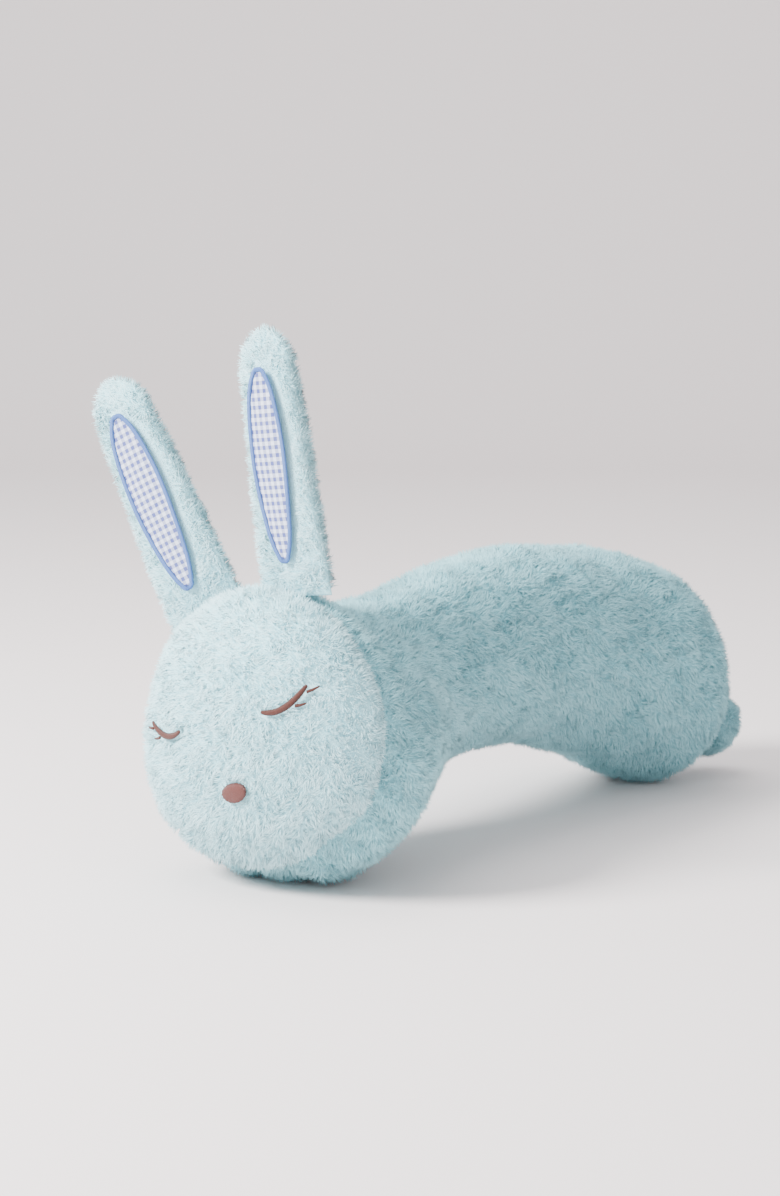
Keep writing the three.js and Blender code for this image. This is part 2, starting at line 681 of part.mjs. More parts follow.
// ---------------------------------------------------------------- tail
const TAIL_LIFT = 1.0;            // root of the tail above the rump
const [tailW, tailH, tailD] = TAIL_SIZE;
const tailPhi = Math.acos(Math.abs(TAIL_LEVEL) ** (1 / 0.92));
const tailSeat = rumpPoint(tailPhi, Math.PI, 0);
const tailBefore = rumpPoint(tailPhi - 0.02, Math.PI, 0);
const tailAfter = rumpPoint(tailPhi + 0.02, Math.PI, 0);
const slopeY = tailAfter[1] - tailBefore[1];
const slopeZ = tailAfter[2] - tailBefore[2];
const tailTurn = Math.atan2(-slopeZ, -slopeY);   // turns +Z to point out of the rump

function tailLoft(inset) {
  const rings = [];
  const middle = tailD * 0.45;
  for (const deg of [-78, -60, -40, -20, 0, 20, 40, 58, 74]) {
    const ring = [];
    const below = deg < 0;
    const depth = (below ? middle : tailD - middle) - inset;
    const fullness = Math.cos(deg * DEG) ** (below ? 0.6 : 0.85);
    for (let j = 0; j < 20; j += 1) {
      const a = (2 * Math.PI * j) / 20;
      const r = fullness * (1 + 0.03 * Math.cos(5 * a));
      const z = middle + depth * Math.sin(deg * DEG);
      ring.push([(tailW / 2 - inset) * r * Math.cos(a), (tailH / 2 - inset) * r * Math.sin(a), z]);
    }
    rings.push(ring);
  }
  return loftSolid(rings, [0, 0, inset], [0, 0, tailD - inset - 1.2]);
}
const circle = (radius, z, count) => {
  const ring = [];
  for (let j = 0; j < count; j += 1) {
    const a = (2 * Math.PI * j) / count;
    ring.push([radius * Math.cos(a), radius * Math.sin(a), z]);
  }
  return ring;
};
// the underside of the tail rises away from its root so that it can swing
function tailCone(lift) {
  const rise = Math.tan((TAIL_SWING + 2) * DEG);
  const rings = [circle(TAIL_ROOT, lift, 20), circle(TAIL_ROOT + 80 / rise, 80 + lift, 20)];
  return loftSolid(rings, [0, 0, lift], [0, 0, 80 + lift]);
}
const neckRings = [circle(TAIL_ROOT * 0.8, -1, 12), circle(TAIL_ROOT * 0.8, TAIL_COVER * 3, 12)];
const tailNeck = loftSolid(neckRings, [0, 0, -1], [0, 0, TAIL_COVER * 3]);
const tailOuter = tailLoft(0).intersect(tailCone(TAIL_LIFT));
const tailInner = tailLoft(TAIL_COVER).intersect(tailCone(TAIL_LIFT + TAIL_COVER));
const tailFill = tailLoft(TAIL_COVER + GAP).intersect(tailCone(TAIL_LIFT + TAIL_COVER + GAP));
const tailThreadPath = [];
for (let i = 0; i < 24; i += 1) {
  const a = (2 * Math.PI * i) / 24;
  const r = TAIL_ROOT * 0.5 + (i % 2 ? 0.4 : -0.4);
  tailThreadPath.push([r * Math.cos(a), r * Math.sin(a), TAIL_LIFT + TAIL_COVER * 0.5]);
}
const tail = new THREE.Group();
tail.position.set(tailSeat[0], tailSeat[1], tailSeat[2] - RUMP_CENTRE);
tail.rotation.x = tailTurn;
const tailSide = new THREE.Group();
tailSide.position.z = RUMP_CENTRE;
tailSide.rotation.y = -TAIL_SIDE * DEG;
tailSide.add(tail);
resting.add(tailSide);
addSolid('tail_cover', tailOuter.subtract(tailInner).subtract(tailNeck), FUR, 0.95, tail);
addSolid('tail_stuffing', tailFill, FILL, 0.95, tail);
addSolid('tail_gather_thread', cordSolid(tailThreadPath, THREAD * 0.4, true), STRING, 0.95, tail);

// ---------------------------------------------------------------- assembly
const group = new THREE.Group();
group.name = 'bolster_bunny';
group.add(resting);

// the frame's origin is under the middle of the whole toy
group.updateMatrixWorld(true);
const middle = new THREE.Box3().setFromObject(group, true).getCenter(new THREE.Vector3());
resting.position.x -= middle.x;
resting.position.y -= middle.y;

export default group;
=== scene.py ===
"""Dresses the frame of a stuffed bunny rabbit: short aqua pile on the body, face, ears and tail, gingham ear
panels in satin borders, embroidered closed eyes, lashes and nose, and a pale studio floor."""

import math

import bpy
import numpy as np
from bpy.props import BoolProperty, FloatProperty, FloatVectorProperty, IntProperty, PointerProperty
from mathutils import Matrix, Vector


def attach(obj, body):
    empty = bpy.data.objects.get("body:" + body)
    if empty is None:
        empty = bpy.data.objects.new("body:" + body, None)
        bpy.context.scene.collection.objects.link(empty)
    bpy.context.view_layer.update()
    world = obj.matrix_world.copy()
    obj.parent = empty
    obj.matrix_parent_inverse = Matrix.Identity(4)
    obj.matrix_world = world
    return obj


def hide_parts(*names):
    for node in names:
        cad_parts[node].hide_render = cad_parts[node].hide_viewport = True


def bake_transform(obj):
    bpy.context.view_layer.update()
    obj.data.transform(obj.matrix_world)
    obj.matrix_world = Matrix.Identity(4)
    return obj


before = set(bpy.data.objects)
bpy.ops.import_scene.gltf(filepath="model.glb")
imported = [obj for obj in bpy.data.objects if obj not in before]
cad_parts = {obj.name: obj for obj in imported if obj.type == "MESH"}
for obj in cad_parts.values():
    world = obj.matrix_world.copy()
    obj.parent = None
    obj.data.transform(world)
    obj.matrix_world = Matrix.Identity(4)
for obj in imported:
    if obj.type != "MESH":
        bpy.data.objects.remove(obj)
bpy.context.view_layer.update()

bl_info = {
    "name": "Stuffed bunny rabbit",
    "version": (1, 0, 0),
    "blender": (4, 5, 0),
    "location": "View3D > Sidebar > Rabbit",
    "description": "Builds the finished pieces of a stuffed bunny rabbit over its frame",
    "category": "Object",
}

# Sizes of the toy in millimetres, angles in degrees: the same numbers the frame was cut from.
BODY_LENGTH = 496.0
HEAD_W, HEAD_H, FACE_D = 104.0, 103.0, 51.0
SEAM_PITCH, SEAM_HEIGHT = math.radians(8.6), 122.0
EGG, CROWN = 0.24, 0.15
PINCH_DEPTH, PINCH_REACH = 4.5, 7.0
RUMP_Y, RUMP_W, RUMP_H, RUMP_CENTRE = 441.44, 84.0, 89.5, 91.0
LEAN = math.radians(16.5)
SHIFT = (53.530, -233.516, -1.198)
EAR_LENGTH, EAR_W, EAR_T = 168.0, 30.5, 12.0
EAR_ROOT = (42.389, 11.414, 205.348)
EAR_SPLAY, EAR_FORWARD, EAR_TOE = math.radians(10.0), math.radians(3.5), math.radians(6.0)
TAIL_W, TAIL_H, TAIL_D, TAIL_LEVEL, TAIL_SIDE = 28.0, 23.0, 34.0, -0.58, math.radians(20.0)
PANEL_START, PANEL_LENGTH, BORDER = 14.0, 125.0, 2.8       # ear panel up the ear, and its border's width
NOSE_LEVEL = -51.5
GINGHAM_REPEAT, YARN = 0.0053, 0.00042                     # metres
BODY_CAP, FACE_CAP = 0.0022, 0.0018                        # furthest the cloth pass may move a point, metres
SECTIONS = np.array([
    # share of length, centre height, half width, half height, share of seam pitch, egg
    (0.00, 122.0, 104.0, 103.0, 1.0, 0.24),
    (0.06, 104.0, 103.0, 102.5, 1.0, 0.216),
    (0.16, 107.0, 85.0, 86.0, 0.6, 0.096),
    (0.27, 120.9, 66.0, 69.0, 0.0, 0.0),
    (0.38, 131.0, 66.36, 69.41, 0.0, 0.0),
    (0.50, 133.0, 69.24, 72.69, 0.0, 0.0),
    (0.62, 129.0, 73.2, 77.2, 0.0, 0.0),
    (0.73, 117.04, 78.24, 82.94, 0.0, 0.0),
    (0.82, 103.2, 83.1, 88.48, 0.0, 0.0),
    (0.89, 91.0, 84.0, 89.5, 0.0, 0.0),
])


# ---------------------------------------------------------------- surfaces

def waves(p, size, seed, count=7):
    """Smooth noise over points p: the mean of count sines of random direction and phase, about size across."""
    rng = np.random.default_rng(seed)
    k = rng.normal(size=(count, 3))
    k *= (2 * np.pi / size) * rng.uniform(0.7, 1.4, (count, 1)) / np.linalg.norm(k, axis=1, keepdims=True)
    phase = rng.uniform(0, 2 * np.pi, count)
    return np.sin(p @ k.T + phase).sum(-1) / math.sqrt(count / 2)


def pinch(d):
    """How far cloth is drawn in at distance d from a sewn ring: PINCH_DEPTH exp(-(d / PINCH_REACH)^2)."""
    return PINCH_DEPTH * np.exp(-(d / PINCH_REACH) ** 2)


def crown(a):
    """Flattening over the top of a ring, a from the top: max(0, cos a)^4."""
    return np.maximum(0, np.cos(a)) ** 4


def face_point(phi, a, inset):
    """Face dome: phi 0 at its middle to pi/2 on the seam, a round it from the top. With r = sin phi,
    x = w r sin a (1 - EGG r cos a), z = h (r cos a - CROWN crown r^3), y = -(FACE_D - inset) cos phi."""
    r = np.sin(phi)
    near = pinch(HEAD_W * 0.75 * (np.pi / 2 - phi))
    w, h = HEAD_W - inset - near, HEAD_H - inset - near
    x = w * r * np.sin(a) * (1 - EGG * np.cos(a) * r)
    z = h * (r * np.cos(a) - CROWN * crown(a) * r ** 3)
    y = -(FACE_D - inset) * np.cos(phi)
    c, s = math.cos(SEAM_PITCH), math.sin(SEAM_PITCH)
    return np.stack([x, y * c + z * s, SEAM_HEIGHT - y * s + z * c], -1)


def body_rings(t):
    """SECTIONS at share t of the length by a Catmull-Rom curve through the rows."""
    s = SECTIONS
    i = np.clip(np.searchsorted(s[:, 0], t, side="right") - 1, 0, len(s) - 2)
    u = ((t - s[i, 0]) / (s[i + 1, 0] - s[i, 0]))[..., None]
    p0, p1, p2, p3 = (s[np.clip(i + k, 0, len(s) - 1)] for k in (-1, 0, 1, 2))
    return 0.5 * (2 * p1 + (p2 - p0) * u + (2 * p0 - 5 * p1 + 4 * p2 - p3) * u ** 2
                  + (3 * p1 - p0 - 3 * p2 + p3) * u ** 3)


def tube_point(t, a, inset):
    """Body from the face seam (t 0) to the rump (t 0.89), a from the top: a ring of half width w and half
    height h, x = w sin a (1 - egg cos a), z = h (cos a - CROWN egg / EGG crown), tilted by its share of pitch."""
    row = body_rings(t)
    near = pinch(t * BODY_LENGTH) + inset
    w, h, egg = row[..., 2] - near, row[..., 3] - near, row[..., 5]
    x = w * np.sin(a) * (1 - egg * np.cos(a))
    z = h * (np.cos(a) - CROWN * (egg / EGG) * crown(a))
    tilt = SEAM_PITCH * row[..., 4]
    return np.stack([x, t * BODY_LENGTH + z * np.sin(tilt), row[..., 1] + z * np.cos(tilt)], -1)


def rump_point(phi, a, inset):
    """Rounded rump: phi 0 on the last ring to pi/2 at its middle, radius by cos(phi)^0.92, depth sin(phi)^1.15."""
    flat, shrink = np.sin(phi) ** 1.15, np.maximum(np.cos(phi), 0) ** 0.92
    return np.stack([(RUMP_W - inset) * shrink * np.sin(a),
                     RUMP_Y + (BODY_LENGTH - RUMP_Y - inset) * flat,
                     RUMP_CENTRE - 2 * flat + (RUMP_H - inset) * shrink * np.cos(a)], -1)


def power(v, e):
    """Power of v by size, keeping its sign."""
    return np.sign(v) * np.abs(v) ** e


def ear_point(t, a, inset):
    """Ear standing on its root: t up its length, a round it with 3 pi/2 at the front. Half width
    EAR_W (1.12 - 0.32 t) and half depth EAR_T (0.58 + 1.5 t - 1.5 t^2), closing round above 0.87."""
    over = np.clip((t - 0.87) / 0.13, 0, 1)
    shrink = np.sqrt(np.maximum(1 - over ** 2, 0))
    w = np.maximum(EAR_W * (1.12 - 0.32 * t) * shrink - inset * (1 - over ** 6), 0)
    h = np.maximum(EAR_T * (0.58 + 1.5 * t - 1.5 * t ** 2) * shrink ** 0.8 - inset * (1 - over ** 6), 0)
    return np.stack([w * power(np.cos(a), 0.9), h * power(np.sin(a), 0.9), (EAR_LENGTH - inset) * t], -1)


def stand_ear(p, side):
    """Turns an ear's own points by toe, forward lean and splay and stands them on the head."""
    x, y, z = p[..., 0], p[..., 1], p[..., 2]
    c, s = math.cos(-side * EAR_TOE), math.sin(-side * EAR_TOE)
    x, y = x * c - y * s, x * s + y * c
    c, s = math.cos(EAR_FORWARD), math.sin(EAR_FORWARD)
    y, z = y * c - z * s, y * s + z * c
    c, s = math.cos(side * EAR_SPLAY), math.sin(side * EAR_SPLAY)
    x, z = x * c + z * s, -x * s + z * c
    return np.stack([x + side * EAR_ROOT[0], y + EAR_ROOT[1], z + EAR_ROOT[2]], -1)


def rest(p):
    """Leans the toy onto its right cheek and hip, as it lies, and gives metres in the frame."""
    c, s = math.cos(LEAN), math.sin(LEAN)
    x = p[..., 0] * c - p[..., 2] * s
    z = p[..., 0] * s + p[..., 2] * c
    return np.stack([x + SHIFT[0], p[..., 1] + SHIFT[1], z + SHIFT[2]], -1) * 0.001


def closed_grid(points):
    """Vertices and faces of a tube of rings, closed at both ends on a middle point."""
    rows, cols = points.shape[:2]
    verts = np.concatenate([points.reshape(-1, 3), [points[0].mean(0), points[-1].mean(0)]])
    i, j = np.meshgrid(np.arange(rows - 1), np.arange(cols), indexing="ij")
    k = (j + 1) % cols
    quads = np.stack([i * cols + j, i * cols + k, (i + 1) * cols + k, (i + 1) * cols + j], -1).reshape(-1, 4)
    c = np.arange(cols)
    k = (c + 1) % cols
    n = rows * cols
    front = np.stack([np.full(cols, n), k, c], -1)
    back = np.stack([np.full(cols, n + 1), n - cols + c, n - cols + k], -1)
    return verts, quads.tolist() + front.tolist() + back.tolist()


def new_piece(name, verts, faces, materials):
    """A finished piece at the origin from vertices in metres, its faces turned outward."""
    mesh = bpy.data.meshes.new(name)
    mesh.from_pydata(np.asarray(verts, float).tolist(), [], faces)
    mesh.validate(clean_customdata=False)
    for m in materials:
        mesh.materials.append(m)
    tris = triangles(mesh)
    co = coords(mesh)
    a, b, c = (co[tris[:, q]] for q in range(3))
    if np.einsum("ij,ij->i", a, np.cross(b, c)).sum() < 0:
        mesh.flip_normals()
    mesh.polygons.foreach_set("use_smooth", np.ones(len(mesh.polygons), bool))
    mesh.update()
    piece = bpy.data.objects.new(name, mesh)
    bpy.context.scene.collection.objects.link(piece)
    return piece


def coords(mesh):
    """Vertex positions of a mesh as an array."""
    co = np.empty(len(mesh.vertices) * 3, np.float32)
    mesh.vertices.foreach_get("co", co)
    return co.reshape(-1, 3).astype(float)


def triangles(mesh):
    """Vertex numbers of a mesh's triangles."""
    mesh.calc_loop_triangles()
    tris = np.empty(len(mesh.loop_triangles) * 3, np.int32)
    mesh.loop_triangles.foreach_get("vertices", tris)
    return tris.reshape(-1, 3)


# ---------------------------------------------------------------- materials

class Sock:
    """One shader value, with arithmetic that adds Math nodes."""

    def __init__(self, tree, socket):
        self.tree, self.socket = tree, socket

    def _math(self, operation, *values):
        return self.tree.node("ShaderNodeMath", {"operation": operation}, dict(enumerate(values)))

    def __add__(self, o): return self._math("ADD", self, o)
    def __radd__(self, o): return self._math("ADD", o, self)
    def __sub__(self, o): return self._math("SUBTRACT", self, o)
    def __rsub__(self, o): return self._math("SUBTRACT", o, self)
    def __mul__(self, o): return self._math("MULTIPLY", self, o)
    def __rmul__(self, o): return self._math("MULTIPLY", o, self)
    def __truediv__(self, o): return self._math("DIVIDE", self, o)
    def __gt__(self, o): return self._math("GREATER_THAN", self, o)
    def fract(self): return self._math("FRACT", self)
    def sine(self): return self._math("SINE", self)
    def clamp(self): return self._math("MINIMUM", self._math("MAXIMUM", self, 0.0), 1.0)


class Tree:
    """A material's node tree and its Principled surface."""

    def __init__(self, name, roughness=0.8, **constants):
        self.material = bpy.data.materials.new(name)
        self.material.use_nodes = True
        self.nodes, self.links = self.material.node_tree.nodes, self.material.node_tree.links
        self.surface = self.nodes["Principled BSDF"]
        self.surface.inputs["Roughness"].default_value = roughness
        for key, value in constants.items():
            self.surface.inputs[key.replace("_", " ")].default_value = value

    def node(self, kind, settings=None, inputs=None, output=0):
        made = self.nodes.new(kind)
        for key, value in (settings or {}).items():
            setattr(made, key, value)
        for key, value in (inputs or {}).items():
            if isinstance(value, Sock):
                self.links.new(value.socket, made.inputs[key])
            else:
                made.inputs[key].default_value = value
        return Sock(self, made.outputs[output])

    def place(self):
        return self.node("ShaderNodeTexCoord", output="Object")

    def noise(self, where, scale, detail=2.0):
        return self.node("ShaderNodeTexNoise", None, {"Vector": where, "Scale": scale, "Detail": detail})

    def mix(self, share, a, b):
        """Colour between a and b by share."""
        return self.node("ShaderNodeMix", {"data_type": "RGBA"}, {0: share, 6: a, 7: b}, 2)

    def bump(self, height, strength, distance):
        return self.node("ShaderNodeBump", None, {"Height": height, "Strength": strength, "Distance": distance})

    def give(self, **ends):
        for key, value in ends.items():
            key = key.replace("_", " ")
            if isinstance(value, Sock):
                self.links.new(value.socket, self.surface.inputs[key])
            else:
                self.surface.inputs[key].default_value = value
        return self.material


def rgba(colour):
    """A colour of three parts with full alpha, held at 1."""
    return (*(min(1.0, c) for c in colour[:3]), 1.0)


def plain(name, colour, roughness=0.85, **constants):
    """One even colour."""
    return Tree(name, roughness, **constants).give(Base_Color=rgba(colour))


def backing(name, colour, deep):
    """Knitted ground under the pile, mottled between two colours; the darker one, deep, is the painted shade of the
    pile's roots, darkening the ground under the pile.
    """
    t = Tree(name, 0.95)
    where = t.place()
    cloud = t.noise(where, 60.0)
    fine = t.noise(where, 900.0)
    return t.give(Base_Color=t.mix(cloud, rgba(deep), rgba(colour)), Normal=t.bump(fine, 0.6, 0.001))


def satin(name, colour, deep, attribute, pitch):
    """Satin stitch: fine threads side by side, counted along the attribute in metres. colour is the thread's own;
    deep is painted shade in the grooves between the threads.
    """
    t = Tree(name, 0.45, Specular_IOR_Level=0.4)
    along = t.node("ShaderNodeAttribute", {"attribute_name": attribute}, None, "Fac")
    wobble = t.noise(t.place(), 420.0)
    lane = ((along / pitch + wobble * 0.35).fract() * (2 * math.pi)).sine() * 0.5 + 0.5
    base = t.mix(lane * 0.75 + wobble * 0.25, rgba(deep), rgba(colour))
    return t.give(Base_Color=base, Normal=t.bump(lane, 0.55, 0.0004))


def gingham(name, blue, white, repeat):
    """Woven gingham over the UV map in metres: stripes of blue one way and the other, darkest where they cross,
    with a fine plain weave over them."""
    t = Tree(name, 0.88)
    uv = t.node("ShaderNodeUVMap", {"uv_map": "cloth"})
    u, v = (t.node("ShaderNodeSeparateXYZ", None, {0: uv}, k) for k in (0, 1))
    across = ((u / repeat).fract() > 0.5)
    along = ((v / repeat).fract() > 0.5)
    share = (across + along) * 0.5
    weave = ((u * (2 * math.pi / YARN)).sine() * (v * (2 * math.pi / YARN)).sine()) * 0.5 + 0.5
    cloud = t.noise(t.place(), 140.0)
    mixed = t.mix((share * 0.9 + (weave - 0.5) * 0.1 + (cloud - 0.5) * 0.12).clamp(), rgba(white), rgba(blue))
    return t.give(Base_Color=mixed, Normal=t.bump(weave, 0.35, 0.0003))


def pile_slots(name, colour, deep):
    """Tones of one pile: three darker ones for the roots, painted shade deep in the pile, then three lighter ones
    for the tips.
    """
    deep, colour = np.array(deep[:3]), np.array(colour[:3])
    return [plain(f"{name}_{k}", deep + (colour - deep) * share, 0.92, Sheen_Weight=0.08, Sheen_Roughness=0.5,
                  Specular_IOR_Level=0.25)
            for k, share in enumerate((0.40, 0.54, 0.68, 0.80, 0.92, 1.04))]


# ---------------------------------------------------------------- pile

def pile(name, ground, slots, count, length, width, seed, parts=1, curl=0.55, ban=None, comb=(0.0, 0.12, -0.45),
         floor=0.0003):
    """Short plush pile standing on the mesh of ground: count tapered strands, rooted by area, bent and drawn
    together into tufts by smooth noise, each seven vertices and ten triangles. Strands take the ground's
    normal as their own, so the nap shades as one soft surface. Returns the pieces, split into parts."""
    rng = np.random.default_rng(seed)
    mesh = ground.data
    tris, co = triangles(mesh), coords(mesh)
    nv = np.empty(len(mesh.vertices) * 3, np.float32)
    mesh.vertices.foreach_get("normal", nv)
    nv = nv.reshape(-1, 3).astype(float)
    a, b, c = (co[tris[:, q]] for q in range(3))
    area = np.linalg.norm(np.cross(b - a, c - a), axis=1)
    if ban is not None:
        area = area * ~ban((a + b + c) / 3)
    pick = rng.choice(len(tris), int(count), p=area / area.sum())
    u = np.sqrt(rng.random(len(pick)))[:, None]
    v = rng.random(len(pick))[:, None]
    wts = (1 - u, u * (1 - v), u * v)
    root = sum(w * co[tris[pick, q]] for q, w in enumerate(wts))
    nrm = sum(w * nv[tris[pick, q]] for q, w in enumerate(wts))
    nrm /= np.linalg.norm(nrm, axis=1, keepdims=True)
    reach = length(root) * rng.uniform(0.72, 1.12, len(root)) if callable(length) \
        else length * rng.uniform(0.72, 1.12, len(root))
    reach = reach[:, None]
    big = np.stack([waves(root, 0.030, seed + 11 + q) for q in range(3)], -1)
    mid = np.stack([waves(root, 0.0125, seed + 21 + q) for q in range(3)], -1)
    fine = np.stack([waves(root, 0.0055, seed + 31 + q) for q in range(3)], -1)
    lay = 0.22 * big + 0.34 * mid + 0.22 * fine + 0.20 * rng.normal(size=root.shape) + np.array(comb)
    lay -= nrm * np.einsum("ij,ij->i", lay, nrm)[:, None]
    d1 = nrm + curl * 0.55 * lay
    d1 /= np.linalg.norm(d1, axis=1, keepdims=True)
    d2 = nrm * 0.62 + curl * 1.75 * lay
    d2 /= np.linalg.norm(d2, axis=1, keepdims=True)
    start = root - nrm * 0.0008
    middle = start + d1 * reach * 0.55
    tip = middle + d2 * reach * 0.55
    side = np.cross(nrm, rng.normal(size=nrm.shape))
    side /= np.linalg.norm(side, axis=1, keepdims=True)
    other = np.cross(nrm, side)
    half = (width * rng.uniform(0.75, 1.25, len(root)) / 2)[:, None]
    corners = [side, -0.5 * side + 0.866 * other, -0.5 * side - 0.866 * other]
    lo = [start + half * q for q in corners]
    up = [middle + half * 0.92 * q for q in corners]
    verts = np.stack([*lo, *up, tip], 1)
    verts[..., 2] = np.maximum(verts[..., 2], floor)
    shade = np.clip(1.5 + 0.85 * waves(root, 0.045, seed + 41) + 0.7 * waves(root, 0.010, seed + 43)
                    + rng.normal(0, 0.55, len(root)), 0, 2.99).astype(np.int32)
    made = []
    for k, span in enumerate(np.array_split(np.arange(len(root)), parts)):
        n = len(span)
        vs = verts[span].reshape(-1, 3).astype(np.float32)
        base = (np.arange(n) * 7)[:, None]
        quads = (base[:, :, None] + np.array([[0, 1, 4, 3], [1, 2, 5, 4], [2, 0, 3, 5]])[None]).reshape(n, -1)
        tips = (base[:, :, None] + np.array([[3, 4, 6], [4, 5, 6], [5, 3, 6], [0, 2, 1]])[None]).reshape(n, -1)
        loops = np.concatenate([quads, tips], 1).reshape(-1).astype(np.int32)
        size = np.tile([4, 4, 4, 3, 3, 3, 3], n).astype(np.int32)
        start_at = np.concatenate([[0], np.cumsum(size)[:-1]]).astype(np.int32)
        # side faces from root to middle take the three darker slots, painted shade deep in the pile; tip faces take
        # the three lighter ones
        index = np.stack([shade[span]] * 3 + [shade[span] + 3] * 3 + [shade[span]], 1).reshape(-1)
        m = bpy.data.meshes.new(f"{name}_{k + 1}" if parts > 1 else name)
        m.vertices.add(len(vs))
        m.vertices.foreach_set("co", vs.ravel())
        m.loops.add(len(loops))
        m.loops.foreach_set("vertex_index", loops)
        m.polygons.add(len(size))
        m.polygons.foreach_set("loop_start", start_at)
        for s in slots:
            m.materials.append(s)
        m.polygons.foreach_set("material_index", index.astype(np.int32))
        m.polygons.foreach_set("use_smooth", np.ones(len(size), bool))
        m.update(calc_edges=True)
        soft = np.repeat(nrm[span], 7, 0).reshape(n, 7, 3) * 0.8
        soft[:, 0:3] += 0.45 * np.stack([q[span] for q in corners], 1)
        soft[:, 3:6] += 0.45 * np.stack([q[span] for q in corners], 1)
        soft = soft.reshape(-1, 3)
        soft /= np.linalg.norm(soft, axis=1, keepdims=True)
        m.normals_split_custom_set_from_vertices(soft.tolist())
        piece = bpy.data.objects.new(m.name, m)
        bpy.context.scene.collection.objects.link(piece)
        made.append(piece)
    return made


# ---------------------------------------------------------------- settings

def shade(name, text, value):
    """One colour property."""
    return FloatVectorProperty(name=name, description=text, subtype="COLOR", size=3, min=0, max=1, default=value)


class RabbitSettings(bpy.types.PropertyGroup):
    """Sizes and colours of the finished pieces."""

    pile_length: FloatProperty(name="Pile length", description="Length of the plush pile",
                               default=0.0074, unit="LENGTH")
    ground_inset: FloatProperty(name="Ground inset", description="Depth of the knitted ground under the pile's tips",
                                default=0.0048, unit="LENGTH")
    strand_width: FloatProperty(name="Strand width", description="Width of one bundle of pile",
                                default=0.00068, unit="LENGTH")
    body_strands: IntProperty(name="Body strands", description="Bundles of pile on the body", default=122000)
    face_strands: IntProperty(name="Face strands", description="Bundles of pile on the face", default=23000)
    ear_strands: IntProperty(name="Ear strands", description="Bundles of pile on each ear", default=15500)
    tail_strands: IntProperty(name="Tail strands", description="Bundles of pile on the tail", default=5500)
    simulate: BoolProperty(name="Simulate", description="Settle the stuffed cloth by simulation", default=True)
    plush: shade("Plush", "Body pile", (0.40, 0.765, 0.84))
    # Plush roots is painted shade deep in the body's pile: it darkens the lower part of each strand and mottles the
    # knitted ground under it.
    plush_shaded_roots: shade("Plush roots", "Body pile near its ground", (0.20, 0.54, 0.61))
    pale: shade("Pale plush", "Face and ear pile", (0.57, 0.885, 0.955))
    # Pale roots is painted shade deep in the face's and ears' pile, darkening the strands' roots and the knitted
    # ground under them.
    pale_shaded_roots: shade("Pale roots", "Face and ear pile near its ground", (0.34, 0.71, 0.79))
    blue: shade("Gingham blue", "Blue of the gingham", (0.028, 0.050, 0.28))
    white: shade("Gingham white", "White of the gingham", (0.66, 0.72, 0.88))
    border: shade("Border blue", "Satin border round the ear panels", (0.085, 0.20, 0.56))
    brown: shade("Brown thread", "Embroidered eyes and nose", (0.125, 0.033, 0.020))
    # Dark thread is painted shade: it fills the grooves between the satin threads of the eyes and lashes.
    dark: shade("Dark thread", "Darker thread of the eyes", (0.035, 0.011, 0.010))
    floor: shade("Floor", "Studio floor", (0.86, 0.80, 0.795))


def settings():
    """The sidebar's sizes and colours."""
    return bpy.context.scene.rabbit


# ---------------------------------------------------------------- padded grounds

def body_ground(inset):
    """The body's cloth: tube rings then rump rings, closed inside the face seam and at the rump's middle."""
    a = np.linspace(0, 2 * np.pi, 150, endpoint=False)[None]
    ts = np.concatenate([np.linspace(0, 0.06, 14, endpoint=False), np.linspace(0.06, 0.89, 110)])[:, None]
    phis = (np.linspace(0, 1, 34)[1:-1] ** 0.85 * (np.pi / 2) * 0.995)[:, None]
    p = np.concatenate([tube_point(ts + 0 * a, a + 0 * ts, inset), rump_point(phis + 0 * a, a + 0 * phis, inset)])
    bulk = 1.3 * waves(p, 95.0, 3) + 0.6 * waves(p, 38.0, 5)
    # gathers fanning back from the underside of the face seam, under the chin
    back = np.clip(p[..., 1] / 60.0, 0, None)
    under = np.clip(-np.cos(a + 0 * p[..., 0]) + 0.1, 0, 1)
    folds = 2.6 * np.exp(-back * 1.7) * under * np.sin(a * 23 + 0.6 * np.sin(a * 5))
    # the closing seam's dimple under the belly
    spot = np.array([0.0, 270.0, 60.0])
    dent = 7.0 * np.exp(-(np.linalg.norm(p - spot, axis=-1) / 17.0) ** 2)
    middle = np.stack([0 * p[..., 0], p[..., 1], np.broadcast_to(p[..., 2].mean(1, keepdims=True), p.shape[:2])], -1)
    out = p - middle
    out /= np.maximum(np.linalg.norm(out, axis=-1, keepdims=True), 1e-6)
    return p + out * (bulk * 0.8 - 1.0 + folds - dent)[..., None]


def face_ground(inset):
    """The face's cloth: a dome closed behind by a flat disc on the seam."""
    a = np.linspace(0, 2 * np.pi, 150, endpoint=False)[None]
    phi = (np.linspace(0.012, 1, 52) * (np.pi / 2))[:, None]
    p = face_point(phi + 0 * a, a + 0 * phi, inset)
    centre = np.array([0.0, 0.0, SEAM_HEIGHT])
    out = p - centre
    out /= np.maximum(np.linalg.norm(out, axis=-1, keepdims=True), 1e-6)
    bulk = 1.0 * waves(p, 70.0, 7) + 0.35 * waves(p, 30.0, 9)
    return p + out * (bulk * 0.7 - 0.7)[..., None]


